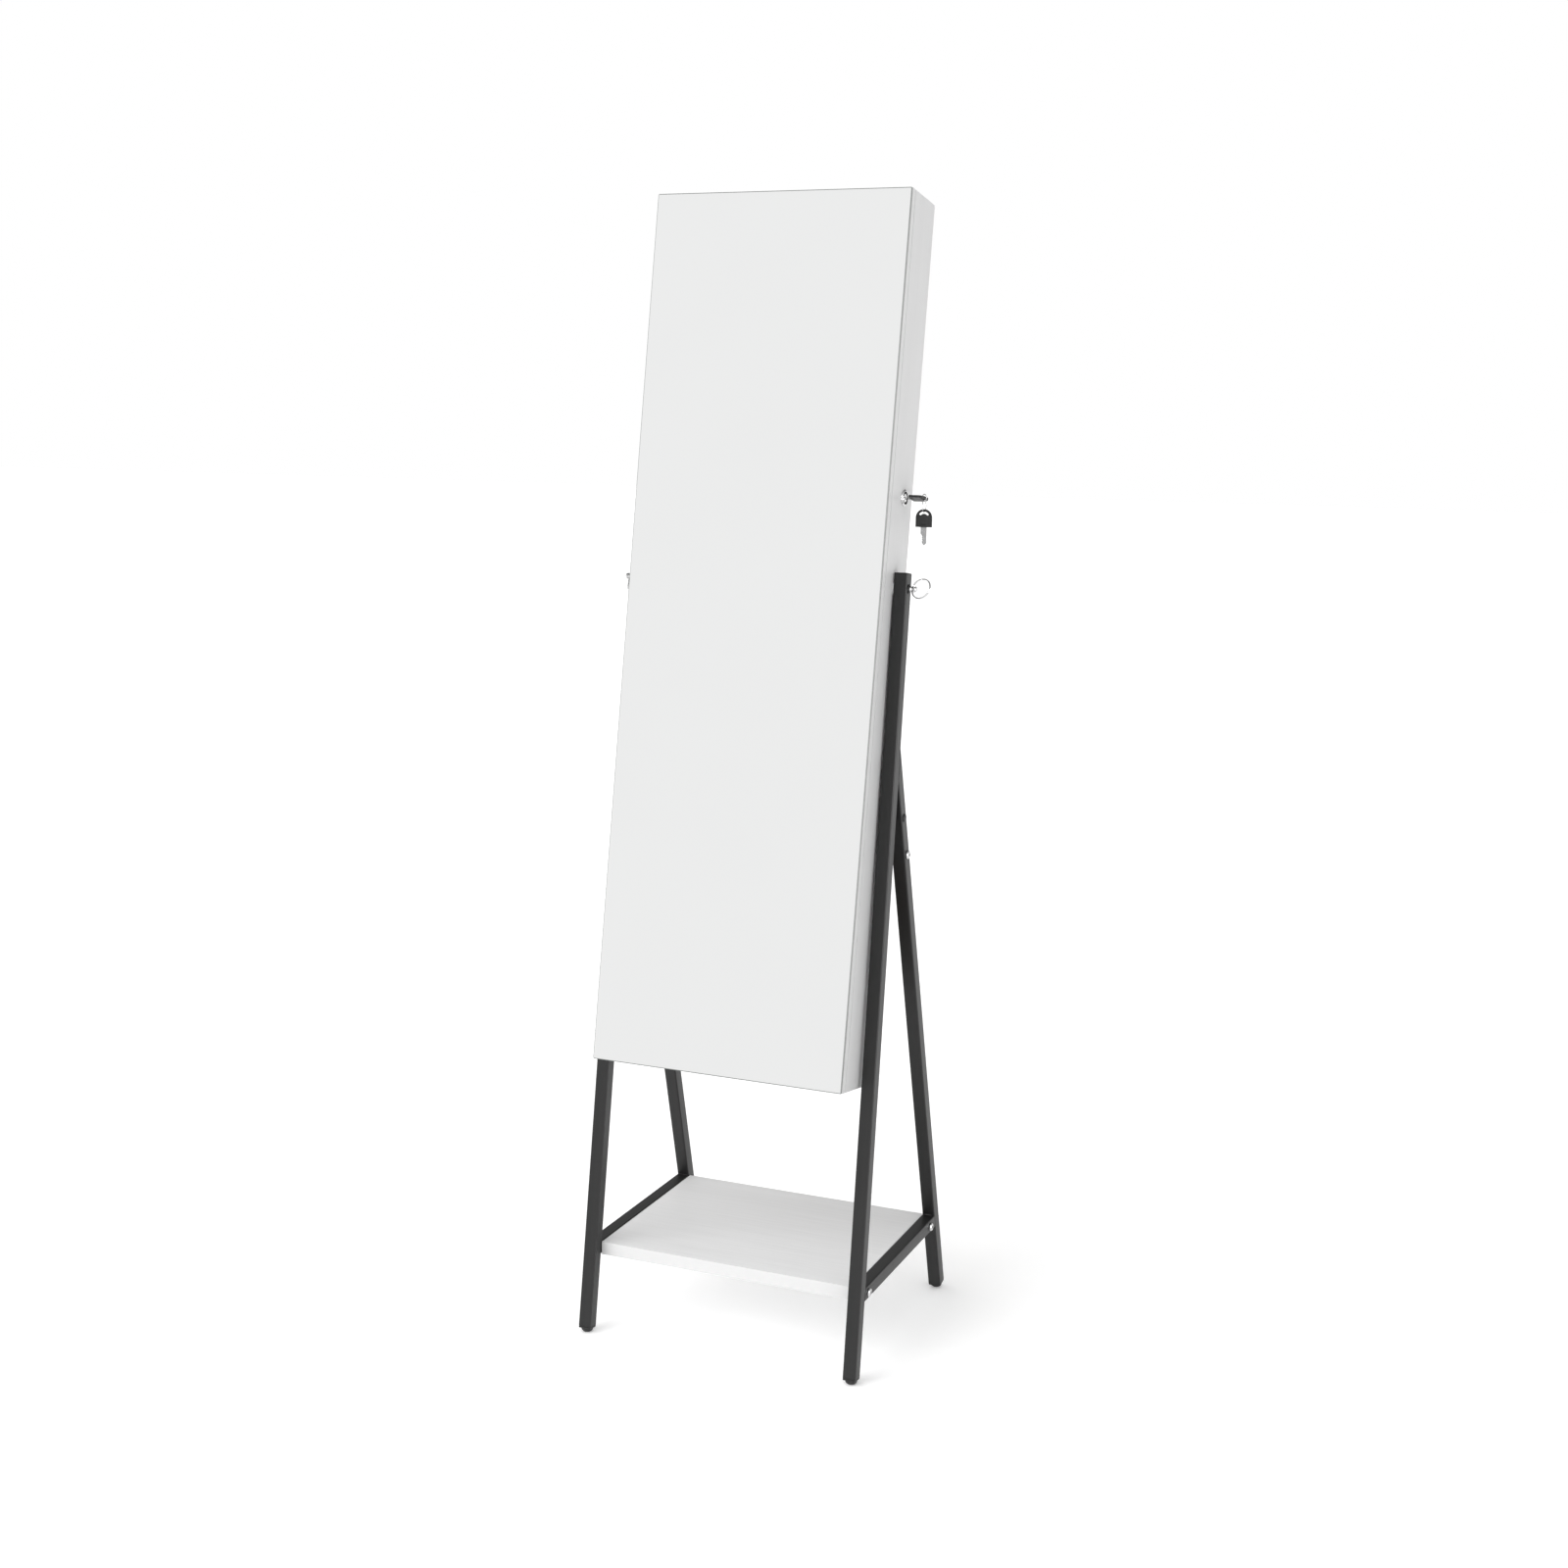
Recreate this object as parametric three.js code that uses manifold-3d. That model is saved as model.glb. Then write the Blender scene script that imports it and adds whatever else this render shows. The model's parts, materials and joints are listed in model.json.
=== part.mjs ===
// A lockable mirror cabinet that hangs and tilts between the uprights of a square-tube stand.
// Millimetres, +Z up, front towards -Y. The hinged mirror door opens on the left; the lock is on the right.

import * as THREE from 'three';
import { mergeVertices } from 'three/addons/utils/BufferGeometryUtils.js';
import Module from 'manifold-3d';

const wasm = await Module();
wasm.setup();

const RAD = Math.PI / 180;
const GAP = 0.3; // clearance between pieces that touch
const ROUND = 20; // sides of the small turned parts
const RIGHT = 1;
const LEFT = -1;

// Stand: two A-shaped side frames of square tube
const TUBE = 19; // outside width of the square tube
const TUBE_WALL = 1.2;
const TUBE_CORNER = 1.8;
const STAND_TOP = 1090; // top of the front legs, on their centre line
const INNER_TOP = 186.8; // centre plane to the inner face of a leg, at STAND_TOP
const SPLAY = 0.33 * RAD; // the side frames spread slightly towards the floor
const FRONT_LEAN = 8 * RAD; // front legs lean back
const REAR_LEAN = 15.8 * RAD; // rear legs lean forward
const FRONT_FOOT_Y = -180; // centre lines at floor level
const REAR_FOOT_Y = 183.5;
const LEG_BOTTOM = 9; // height of the lower tube ends on the centre line
const REAR_LEG_RISE = 900; // rough rise of the rear legs, cut off at the front legs

// Shelf, rails and crossbar
const SHELF_BOTTOM = 108.7;
const SHELF_THICK = 18.8;
const RAIL_BOTTOM = SHELF_BOTTOM + 1; // the rails stand a little proud of the shelf
const SHELF_FRONT = -154;
const SHELF_REAR = 142.4;
const CROSSBAR_Z = 705.6;
const HOLE_PLUG_Z = 759.5;
const SHELF_BOLTS_Y = [-140.5, 119.5];
const SHELF_BOLTS_Z = SHELF_BOTTOM + SHELF_THICK / 2;
const RAIL_LENGTH = 420; // rough length of the rails, cut to the legs at both ends
const BOLT_SHANK = 40;
const BOLT_BORE = 26; // depth of the bolt holes in the shelf's ends

// Cabinet, measured along its own height and depth
const CAB_WIDTH = 371;
const CAB_HEIGHT = 1200;
const CAB_DEPTH = 98;
const TILT = 9.45 * RAD;
const PIVOT_Z = 1071; // height of the tilt axis
const PIVOT_FROM_FRONT = 53.5;
const PIVOT_FROM_BOTTOM = 676.6;
const MIRROR_THICK = 3;
const DOOR_THICK = 11.4;
const SEAM = 0.8; // door to cabinet box
const BOARD = 9;
const BACK_THICK = 4;

// Lock and keys
const LOCK_FROM_FRONT = 63;
const LOCK_FROM_BOTTOM = 799.4;
const ESCUTCHEON_R = 11.4;
const BOW_R = 11.5;
const BOW_LENGTH = 24;
const BOW_THICK = 3.2;
const BLADE_THICK = 2;
const BLADE_LENGTH = 28;
const SPARE_BLADE_LENGTH = 24.4;
const BLADE_WIDTH = 8;
const SLOT_INNER_R = 5.3; // curved slot in a key bow
const SLOT_OUTER_R = 8.3;
const KEY_STANDOFF = 10; // cabinet side to the bow of the inserted key
const KEY_TURN = -8 * RAD; // the key rests slightly turned, the front edge of its bow raised

// Spring plungers
const PIN_R = 3;
const PIN_CLEARANCE = 0.25;
const RING_R = 13.8;
const RING_WIRE_R = 0.8;
const RING_SAG = 0.36; // the ring's wire rests off the middle of its hole
const RING_LEAN = 27 * RAD; // the cross hole of each knob leans back
const RING_SWING = { right: -15 * RAD, left: -66 * RAD }; // right ring outwards, left ring to the back

// ---------------------------------------------------------------- materials

function material(color, roughness, metalness) {
  return new THREE.MeshStandardMaterial({ color, roughness, metalness });
}

const blackSteel = material(0x2b2b2d, 0.45, 0.4);
const whiteBoard = material(0xe4e4e4, 0.5, 0);
const mirrorSilver = material(0xdfe3e6, 0.03, 1);
const chrome = material(0xd0d2d4, 0.12, 1);
const zincSteel = material(0xaab0b4, 0.3, 1);
const blackPlastic = material(0x161617, 0.4, 0);
const whiteNylon = material(0xf0efe9, 0.5, 0);
const darkHardboard = material(0x6e6258, 0.8, 0);
const greyVelvet = material(0x8a8a90, 0.95, 0);

// ---------------------------------------------------------------- solid helpers

function solid(geometry) {
  const clean = geometry.clone();
  clean.deleteAttribute('normal');
  clean.deleteAttribute('uv');
  const merged = mergeVertices(clean, 1e-4);
  const vertProperties = new Float32Array(merged.attributes.position.array);
  const triVerts = new Uint32Array(merged.index.array);
  return new wasm.Manifold(new wasm.Mesh({ numProp: 3, vertProperties, triVerts }));
}

function geometryOf(manifold) {
  const mesh = manifold.getMesh();
  const geometry = new THREE.BufferGeometry();
  geometry.setAttribute('position', new THREE.BufferAttribute(new Float32Array(mesh.vertProperties), 3));
  geometry.setIndex(new THREE.BufferAttribute(new Uint32Array(mesh.triVerts), 1));
  geometry.computeVertexNormals();
  return geometry;
}

function cut(geometry, ...tools) {
  return geometryOf(tools.reduce((rest, tool) => rest.subtract(solid(tool)), solid(geometry)));
}

function join(geometry, ...others) {
  return geometryOf(others.reduce((whole, other) => whole.add(solid(other)), solid(geometry)));
}

// A box from its lowest to its highest corner
function boxBetween(low, high) {
  const size = high.map((value, axis) => value - low[axis]);
  const box = new THREE.BoxGeometry(...size);
  return box.translate(low[0] + size[0] / 2, low[1] + size[1] / 2, low[2] + size[2] / 2);
}

// A round bar along X between two x values, centred on (y, z)
function barX(radius, from, to, y = 0, z = 0, sides = ROUND) {
  const bar = new THREE.CylinderGeometry(radius, radius, to - from, sides);
  return bar.rotateZ(-90 * RAD).translate((from + to) / 2, y, z);
}

function barZ(radius, from, to, x = 0, y = 0, sides = ROUND) {
  const bar = new THREE.CylinderGeometry(radius, radius, to - from, sides);
  return bar.rotateX(90 * RAD).translate(x, y, (from + to) / 2);
}

// A solid turned about X from pairs of radius and x
function turnedX(profile, sides = ROUND) {
  const points = profile.map(([radius, x]) => new THREE.Vector2(radius, x));
  return new THREE.LatheGeometry(points, sides).rotateZ(-90 * RAD);
}

function torus(radius, wireRadius, wireSides = 8, steps = 28) {
  return new THREE.TorusGeometry(radius, wireRadius, wireSides, steps); // lies in the XY plane
}

function extrude(shape, depth, curveSegments = 8) {
  return new THREE.ExtrudeGeometry(shape, { depth, bevelEnabled: false, curveSegments });
}

function squareOutline(width, corner) {
  const half = width / 2;
  const shape = new THREE.Shape();
  shape.moveTo(-half + corner, -half);
  shape.lineTo(half - corner, -half);
  shape.absarc(half - corner, -half + corner, corner, -90 * RAD, 0);
  shape.lineTo(half, half - corner);
  shape.absarc(half - corner, half - corner, corner, 0, 90 * RAD);
  shape.lineTo(-half + corner, half);
  shape.absarc(-half + corner, half - corner, corner, 90 * RAD, 180 * RAD);
  shape.lineTo(-half, -half + corner);
  shape.absarc(-half + corner, -half + corner, corner, 180 * RAD, 270 * RAD);
  return shape;
}

// Hollow square tube along Z from 0 to length
function squareTube(length) {
  const outer = extrude(squareOutline(TUBE, TUBE_CORNER), length, 2);
  const bore = TUBE / 2 - TUBE_WALL;
  return cut(outer, boxBetween([-bore, -bore, -1], [bore, bore, length + 1]));
}

function addPiece(group, name, geometry, look, position = [0, 0, 0]) {
  const mesh = new THREE.Mesh(geometry, look);
  mesh.name = name;
  mesh.position.set(...position);
  group.add(mesh);
  return mesh;
}

const sideName = (side) => (side === RIGHT ? 'right' : 'left');

// ---------------------------------------------------------------- stand

const frontLegY = (z) => FRONT_FOOT_Y + z * Math.tan(FRONT_LEAN);
const rearLegY = (z) => REAR_FOOT_Y - z * Math.tan(REAR_LEAN);
const frameCentreX = (z) => INNER_TOP + TUBE / 2 + (STAND_TOP - z) * Math.tan(SPLAY);
const innerFaceX = (z) => frameCentreX(z) - TUBE / 2;

const FAR = 300; // reach of the blocks that trim the tube ends
const TALL = 1600;

// Everything in front of a plane parallel to the front legs, at an offset behind their centre line
function inFrontOfFrontLeg(offset) {
  const block = boxBetween([-FAR, offset - FAR, -FAR], [FAR, offset, TALL]);
  return block.rotateX(-FRONT_LEAN).translate(0, FRONT_FOOT_Y, 0);
}

// Everything behind a plane parallel to the rear legs, at an offset ahead of their centre line
function behindRearLeg(offset) {
  const block = boxBetween([-FAR, -offset, -FAR], [FAR, FAR - offset, TALL]);
  return block.rotateX(REAR_LEAN).translate(0, REAR_FOOT_Y, 0);
}

function frontLeg() {
  const length = (STAND_TOP - LEG_BOTTOM) / Math.cos(FRONT_LEAN);
  const tube = squareTube(length).rotateX(-FRONT_LEAN).translate(0, frontLegY(LEG_BOTTOM), LEG_BOTTOM);
  const plungerHole = barX(5.3, -TUBE, TUBE, frontLegY(PIVOT_Z), PIVOT_Z);
  return cut(tube, plungerHole);
}

function rearLeg() {
  const length = REAR_LEG_RISE / Math.cos(REAR_LEAN);
  const tube = squareTube(length).rotateX(REAR_LEAN).translate(0, rearLegY(LEG_BOTTOM), LEG_BOTTOM);
  const boltHole = barX(3.4, -TUBE, TUBE, rearLegY(CROSSBAR_Z), CROSSBAR_Z);
  const plugHole = barX(4.1, 0, TUBE, rearLegY(HOLE_PLUG_Z), HOLE_PLUG_Z);
  return cut(tube, inFrontOfFrontLeg(TUBE / 2 + GAP), boltHole, plugHole);
}

function sideRail() {
  const tube = squareTube(RAIL_LENGTH).rotateX(-90 * RAD);
  tube.translate(0, -RAIL_LENGTH / 2, RAIL_BOTTOM + TUBE / 2);
  const boltHoles = SHELF_BOLTS_Y.map((y) => barX(3.4, -TUBE, TUBE, y, SHELF_BOLTS_Z));
  return cut(tube, inFrontOfFrontLeg(TUBE / 2 + GAP), behindRearLeg(TUBE / 2 + GAP), ...boltHoles);
}

// Cap screw along X, its head on the plane x = 0 and its shank towards -X
function capScrew(shank) {
  const profile = [[0, -shank], [3, -shank], [3, 0], [6, 0], [6, 1.4], [5.2, 2.7], [3.6, 3.4], [0, 3.4]];
  const socket = barX(2.3, 1.2, 4, 0, 0, 6);
  return cut(turnedX(profile), socket);
}

// Round plastic hole plug along X, its head on the plane x = 0
function holePlug() {
  return turnedX([[0, -6], [3.7, -6], [3.7, 0], [5.9, 0], [5.6, 1.2], [3.4, 2.1], [0, 2.3]]);
}

// Domed glide pressed into a leaning leg: a level dome below, a square flange square to the leg
function footGlide(lean, side) {
  const along = (geometry) => {
    return geometry.rotateX(lean).rotateY(-side * SPLAY).translate(0, 0, LEG_BOTTOM);
  };
  const profile = [[0, 0], [4, 0], [7.2, 1.8], [8.6, 4.6], [8.9, 7.5], [0, 7.5]];
  const dome = turnedX(profile).rotateY(-90 * RAD);
  const aboveFlange = along(boxBetween([-TUBE, -TUBE, -2 * GAP], [TUBE, TUBE, TUBE]));
  const half = TUBE / 2 - 0.1;
  const flange = boxBetween([-half, -half, -2.6 - GAP], [half, half, -GAP]);
  const plugHalf = TUBE / 2 - TUBE_WALL - GAP;
  const plug = boxBetween([-plugHalf, -plugHalf, -1], [plugHalf, plugHalf, 9]);
  return join(cut(dome, aboveFlange), along(join(flange, plug)));
}

function legCap() {
  const half = TUBE / 2;
  const plugHalf = half - TUBE_WALL - GAP;
  const flange = boxBetween([-half, -half, GAP], [half, half, 2]);
  return join(flange, boxBetween([-plugHalf, -plugHalf, -9], [plugHalf, plugHalf, 1]));
}

// Black guide bushing through the front leg, from its outer face (x = 0) to its inner face
function plungerGuide() {
  const body = join(barX(6.25, 0.2, 1.7), barX(4.9, -TUBE, 1));
  return cut(body, barX(PIN_R + PIN_CLEARANCE, -TUBE - 5, 5));
}

function shelfBoard() {
  const half = innerFaceX(RAIL_BOTTOM + TUBE) - GAP;
  const top = SHELF_BOTTOM + SHELF_THICK;
  const board = boxBetween([-half, SHELF_FRONT, SHELF_BOTTOM], [half, SHELF_REAR, top]);
  const holes = SHELF_BOLTS_Y.flatMap((y) => [
    barX(3.6, half - BOLT_BORE, half + 5, y, SHELF_BOLTS_Z),
    barX(3.6, -half - 5, -half + BOLT_BORE, y, SHELF_BOLTS_Z),
  ]);
  return cut(board, ...holes);
}

function crossbar() {
  const half = innerFaceX(CROSSBAR_Z) - GAP;
  const bar = extrude(squareOutline(TUBE, TUBE_CORNER), 2 * half, 2);
  const outer = bar.translate(0, 0, -half).rotateY(90 * RAD);
  const bore = TUBE / 2 - TUBE_WALL;
  const plugged = half - 4; // threaded end plugs close the tube
  const hollow = boxBetween([-plugged, -bore, -bore], [plugged, bore, bore]);
  return cut(outer, hollow, barX(3.3, -half - 1, half + 1)).rotateX(REAR_LEAN);
}

function addSideFrame(stand, side) {
  const name = sideName(side);
  const frame = new THREE.Group();
  frame.position.set(side * frameCentreX(STAND_TOP), 0, STAND_TOP);
  frame.rotation.y = -side * SPLAY;
  const outward = (geometry) => (side === RIGHT ? geometry : geometry.rotateZ(180 * RAD));
  const down = [0, 0, -STAND_TOP];
  const outerFace = side * (TUBE / 2 + GAP / 2);

  const rearGeometry = side === RIGHT ? rearLeg() : mirrored(rearLeg());
  addPiece(frame, `front_leg_${name}`, frontLeg(), blackSteel, down);
  addPiece(frame, `rear_leg_${name}`, rearGeometry, blackSteel, down);
  addPiece(frame, `side_rail_${name}`, sideRail(), blackSteel, down);

  const cap = legCap().rotateX(-FRONT_LEAN);
  addPiece(frame, `leg_cap_${name}`, cap, blackPlastic, [0, frontLegY(STAND_TOP), 0]);
  SHELF_BOLTS_Y.forEach((y, index) => {
    const place = [outerFace, y, SHELF_BOLTS_Z - STAND_TOP];
    const bolt = outward(capScrew(BOLT_SHANK));
    addPiece(frame, `shelf_bolt_${index ? 'rear' : 'front'}_${name}`, bolt, zincSteel, place);
  });
  const crossbarBoltPlace = [outerFace, rearLegY(CROSSBAR_Z), CROSSBAR_Z - STAND_TOP];
  const crossbarBolt = outward(capScrew(BOLT_SHANK));
  addPiece(frame, `crossbar_bolt_${name}`, crossbarBolt, zincSteel, crossbarBoltPlace);
  const plugPlace = [outerFace, rearLegY(HOLE_PLUG_Z), HOLE_PLUG_Z - STAND_TOP];
  addPiece(frame, `hole_plug_${name}`, outward(holePlug()), blackPlastic, plugPlace);
  const guidePlace = [side * TUBE / 2, frontLegY(PIVOT_Z), PIVOT_Z - STAND_TOP];
  addPiece(frame, `plunger_guide_${name}`, outward(plungerGuide()), blackPlastic, guidePlace);
  stand.add(frame);
}

// The same solid reflected left to right
function mirrored(geometry) {
  return geometryOf(solid(geometry).mirror([1, 0, 0]));
}

function addGlides(stand, side) {
  const x = side * frameCentreX(LEG_BOTTOM);
  const name = sideName(side);
  const front = footGlide(-FRONT_LEAN, side);
  const rear = footGlide(REAR_LEAN, side);
  addPiece(stand, `glide_front_${name}`, front, blackPlastic, [x, frontLegY(LEG_BOTTOM), 0]);
  addPiece(stand, `glide_rear_${name}`, rear, blackPlastic, [x, rearLegY(LEG_BOTTOM), 0]);
}

// ---------------------------------------------------------------- spring plungers (the tilt pivots)

const KNOB_FROM = INNER_TOP + TUBE + 2;
const RING_HOLE = 3.4; // from the knob's inner end
const RING_HOLE_X = KNOB_FROM + RING_HOLE;
const PIN_END_X = CAB_WIDTH / 2 - 7;

// Pin and knob in one turned piece: a flange, a neck with a cross hole for the pull ring, a rounded end
function plungerPin() {
  const knob = turnedX([
    [0, 0], [4.35, 0], [4.35, 1.4], [3.9, 1.8], [3.4, 1.8], [3.4, 5], [3.8, 5.1], [4.2, 6],
    [4.2, 7.6], [3.6, 8.8], [2.2, 9.4], [0, 9.4],
  ]).translate(KNOB_FROM, 0, 0);
  return cut(join(barX(PIN_R, PIN_END_X, KNOB_FROM + 1), knob), barZ(1.5, -10, 10, RING_HOLE_X, 0));
}

// Ring in the XZ plane, threaded through the cross hole at the origin
function pullRing() {
  const ring = torus(RING_R, RING_WIRE_R, 8, 36).rotateX(90 * RAD);
  return ring.translate(RING_R - RING_SAG, 0, 0);
}

function addPlunger(root, side) {
  const name = sideName(side);
  const group = new THREE.Group();
  group.position.set(0, frontLegY(PIVOT_Z), PIVOT_Z);
  if (side === LEFT) group.rotation.z = 180 * RAD;
  const lean = side * -RING_LEAN;
  addPiece(group, `plunger_pin_${name}`, plungerPin().rotateX(lean), zincSteel);
  const ring = pullRing().rotateZ(RING_SWING[name]).rotateX(lean);
  addPiece(group, `pull_ring_${name}`, ring, chrome, [RING_HOLE_X, 0, 0]);
  const disc = barX(10, CAB_WIDTH / 2 + 0.25, CAB_WIDTH / 2 + 1.25);
  const washer = cut(disc, barX(PIN_R + PIN_CLEARANCE, 0, CAB_WIDTH));
  addPiece(group, `pivot_washer_${name}`, washer, whiteNylon);
  root.add(group);
}

// ---------------------------------------------------------------- cabinet, in its own upright frame

// Local frame: origin on the tilt axis, y measured back from it, z up the cabinet
const HALF = CAB_WIDTH / 2;
const FRONT = -PIVOT_FROM_FRONT;
const REAR = FRONT + CAB_DEPTH;
const BOTTOM = -PIVOT_FROM_BOTTOM;
const TOP = BOTTOM + CAB_HEIGHT;
const DOOR_FRONT = FRONT + MIRROR_THICK + GAP;
const DOOR_BACK = DOOR_FRONT + DOOR_THICK;
const BOX_FRONT = DOOR_BACK + SEAM;
const BOX_REAR = REAR - BACK_THICK - GAP;
const INSIDE = HALF - BOARD; // centre plane to the inner face of a side panel
const LOCK_Y = FRONT + LOCK_FROM_FRONT;
const LOCK_Z = BOTTOM + LOCK_FROM_BOTTOM;

function sidePanel(side) {
  const x = [INSIDE, HALF].map((value) => value * side).sort((a, b) => a - b);
  const panel = boxBetween([x[0], BOX_FRONT, BOTTOM], [x[1], BOX_REAR, TOP]);
  const bushHole = barX(5.3, x[0] - 5, x[1] + 5);
  const lockHole = barX(8.6, x[0] - 5, x[1] + 5, LOCK_Y, LOCK_Z);
  return side === RIGHT ? cut(panel, bushHole, lockHole) : cut(panel, bushHole);
}

function levelBoard(from, to, depthFrom = BOX_FRONT, depthTo = BOX_REAR) {
  return boxBetween([-INSIDE + GAP, depthFrom, from], [INSIDE - GAP, depthTo, to]);
}

// Steel bushing that the plunger pin turns in: a sleeve through the side and a flange inside
function pivotBush() {
  const body = join(barX(5, INSIDE - 1, HALF), barX(11, INSIDE - 2 - GAP, INSIDE - GAP));
  return cut(body, barX(PIN_R + PIN_CLEARANCE, 0, CAB_WIDTH));
}

const SHELF_LEVELS = [250, 470, 700]; // above the cabinet's bottom edge
const INNER_SHELF_THICK = 8;
const INNER_SHELF_FRONT = BOX_FRONT + 14;
const EARRING_PANEL_LEVEL = 850;
const EARRING_PANEL_HEIGHT = 200;
const EARRING_RAIL_PITCH = 50;
const PEG_PITCH = 36;

function addInterior(cabinet) {
  SHELF_LEVELS.forEach((level, index) => {
    const low = BOTTOM + level;
    const board = levelBoard(low, low + INNER_SHELF_THICK, INNER_SHELF_FRONT, BOX_REAR - GAP);
    addPiece(cabinet, `inner_shelf_${['lower', 'middle', 'upper'][index]}`, board, whiteBoard);
  });
  addPiece(cabinet, 'necklace_rail', necklaceRail(), whiteBoard);
  addPiece(cabinet, 'ring_cushion', ringCushion(), greyVelvet);
  addPiece(cabinet, 'earring_panel', earringPanel(), greyVelvet);
}

// A bar across the top of the cabinet with a row of pegs
function necklaceRail() {
  const z = TOP - 70;
  const bar = boxBetween([-INSIDE + GAP, BOX_REAR - 13, z], [INSIDE - GAP, BOX_REAR - GAP, z + 24]);
  const pegs = [];
  for (let index = 0; index < 9; index += 1) {
    const peg = new THREE.CylinderGeometry(2.5, 2.5, 22, 10).rotateX(20 * RAD);
    pegs.push(peg.translate((index - 4) * PEG_PITCH, BOX_REAR - 20, z + 14));
  }
  return join(bar, ...pegs);
}

// Velvet block for rings on the upper shelf
function ringCushion() {
  const low = BOTTOM + SHELF_LEVELS[2] + INNER_SHELF_THICK + GAP;
  return boxBetween([-INSIDE + 4, INNER_SHELF_FRONT + 2, low], [INSIDE - 4, BOX_REAR - 2, low + 22]);
}

// Velvet panel on the back with raised rails for earrings
function earringPanel() {
  const low = BOTTOM + EARRING_PANEL_LEVEL;
  const half = INSIDE - 14;
  const top = low + EARRING_PANEL_HEIGHT;
  const panel = boxBetween([-half, BOX_REAR - 5, low], [half, BOX_REAR - GAP, top]);
  const rails = [0, 1, 2, 3].map((row) => {
    const z = low + 20 + row * EARRING_RAIL_PITCH;
    return boxBetween([-half + 8, BOX_REAR - 10, z], [half - 8, BOX_REAR - 4, z + 5]);
  });
  return join(panel, ...rails);
}

// ---------------------------------------------------------------- hinges

const HINGE_FROM_END = 140;
const HINGE_LEVELS = { lower: BOTTOM + HINGE_FROM_END, upper: TOP - HINGE_FROM_END };
const HINGE_X = -HALF - 2.9;
const HINGE_Y = DOOR_BACK + SEAM / 2;
const KNUCKLE_R = 2.5;
const HINGE_HALF = 30; // half the height of a hinge
const MIDDLE_HALF = 11; // half the height of the door leaf's knuckle
const LEAF_X = [-HALF - 1.5, -HALF - GAP];

// Leaf on the cabinet's side: two end knuckles
function cabinetLeaf(level) {
  const low = [LEAF_X[0], HINGE_Y + 1.2, level - HINGE_HALF];
  const leaf = boxBetween(low, [LEAF_X[1], HINGE_Y + 15, level + HINGE_HALF]);
  const knuckles = [-1, 1].map((end) => {
    const from = Math.min(end * MIDDLE_HALF, end * HINGE_HALF) + (end > 0 ? GAP : 0);
    const to = Math.max(end * MIDDLE_HALF, end * HINGE_HALF) - (end > 0 ? 0 : GAP);
    return barZ(KNUCKLE_R, level + from, level + to, HINGE_X, HINGE_Y, 16);
  });
  const relief = barZ(KNUCKLE_R + GAP, level - MIDDLE_HALF, level + MIDDLE_HALF, HINGE_X, HINGE_Y, 16);
  const pinHole = barZ(1.3, level - HINGE_HALF - 1, level + HINGE_HALF + 1, HINGE_X, HINGE_Y, 12);
  return cut(join(leaf, ...knuckles), relief, pinHole);
}

// Leaf on the door's edge: the middle knuckle and the hinge pin
function doorLeaf(level) {
  const low = [LEAF_X[0], DOOR_FRONT + 1, level - MIDDLE_HALF];
  const leaf = boxBetween(low, [LEAF_X[1], HINGE_Y - 1, level + MIDDLE_HALF]);
  const half = MIDDLE_HALF - GAP;
  const knuckle = barZ(KNUCKLE_R, level - half, level + half, HINGE_X, HINGE_Y, 16);
  const pin = barZ(1, level - HINGE_HALF, level + HINGE_HALF, HINGE_X, HINGE_Y, 12);
  return join(leaf, knuckle, pin);
}

// ---------------------------------------------------------------- lock

// Local frame of the lock: x = 0 on the outer face of the right side panel, axis along X

function lockBody() {
  const flange = turnedX([
    [7.2, 0.3], [ESCUTCHEON_R, 0.3], [ESCUTCHEON_R, 1.2], [ESCUTCHEON_R - 1.2, 2.4], [8.6, 2.6],
    [7.2, 1.6], [7.2, 0.3],
  ], 28);
  const barrel = cut(barX(8.2, -22, 1.4, 0, 0, 28), barX(6.4, -30, 10, 0, 0, 28));
  return join(flange, barrel);
}

// Turning plug with a keyway and a square end for the cam
function lockPlug() {
  const plug = join(barX(6, -22.5, 2, 0, 0, 24), boxBetween([-26, -3, -3], [-22, 3, 3]));
  const half = [BLADE_WIDTH / 2 + GAP, BLADE_THICK / 2 + GAP];
  const keyway = boxBetween([-21, -half[0], -half[1]], [5, half[0], half[1]]);
  return cut(plug, keyway.rotateX(KEY_TURN));
}

// Cam arm that reaches forward, behind the door's strike
function lockCam() {
  const arm = join(barX(8, -25.5, -23.5), boxBetween([-25.5, -38, -5], [-23.5, 0, 5]));
  return cut(arm, boxBetween([-27, -3.3, -3.3], [-22, 3.3, 3.3]));
}

// ---------------------------------------------------------------- keys

// Key outline in the XY plane: the bow grows along +X from 0, its dome at the far end
function bowShape() {
  const shape = new THREE.Shape();
  const domeX = BOW_LENGTH - BOW_R;
  shape.moveTo(0, -BOW_R);
  shape.lineTo(domeX, -BOW_R);
  shape.absarc(domeX, 0, BOW_R, -90 * RAD, 90 * RAD);
  shape.lineTo(0, BOW_R);
  const slot = new THREE.Path();
  slot.absarc(domeX, 0, SLOT_OUTER_R, -58 * RAD, 58 * RAD);
  slot.absarc(domeX, 0, SLOT_INNER_R, 58 * RAD, -58 * RAD, true);
  shape.holes.push(slot);
  return shape;
}

function keyBow() {
  return extrude(bowShape(), BOW_THICK, 14).translate(0, 0, -BOW_THICK / 2);
}

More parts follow.
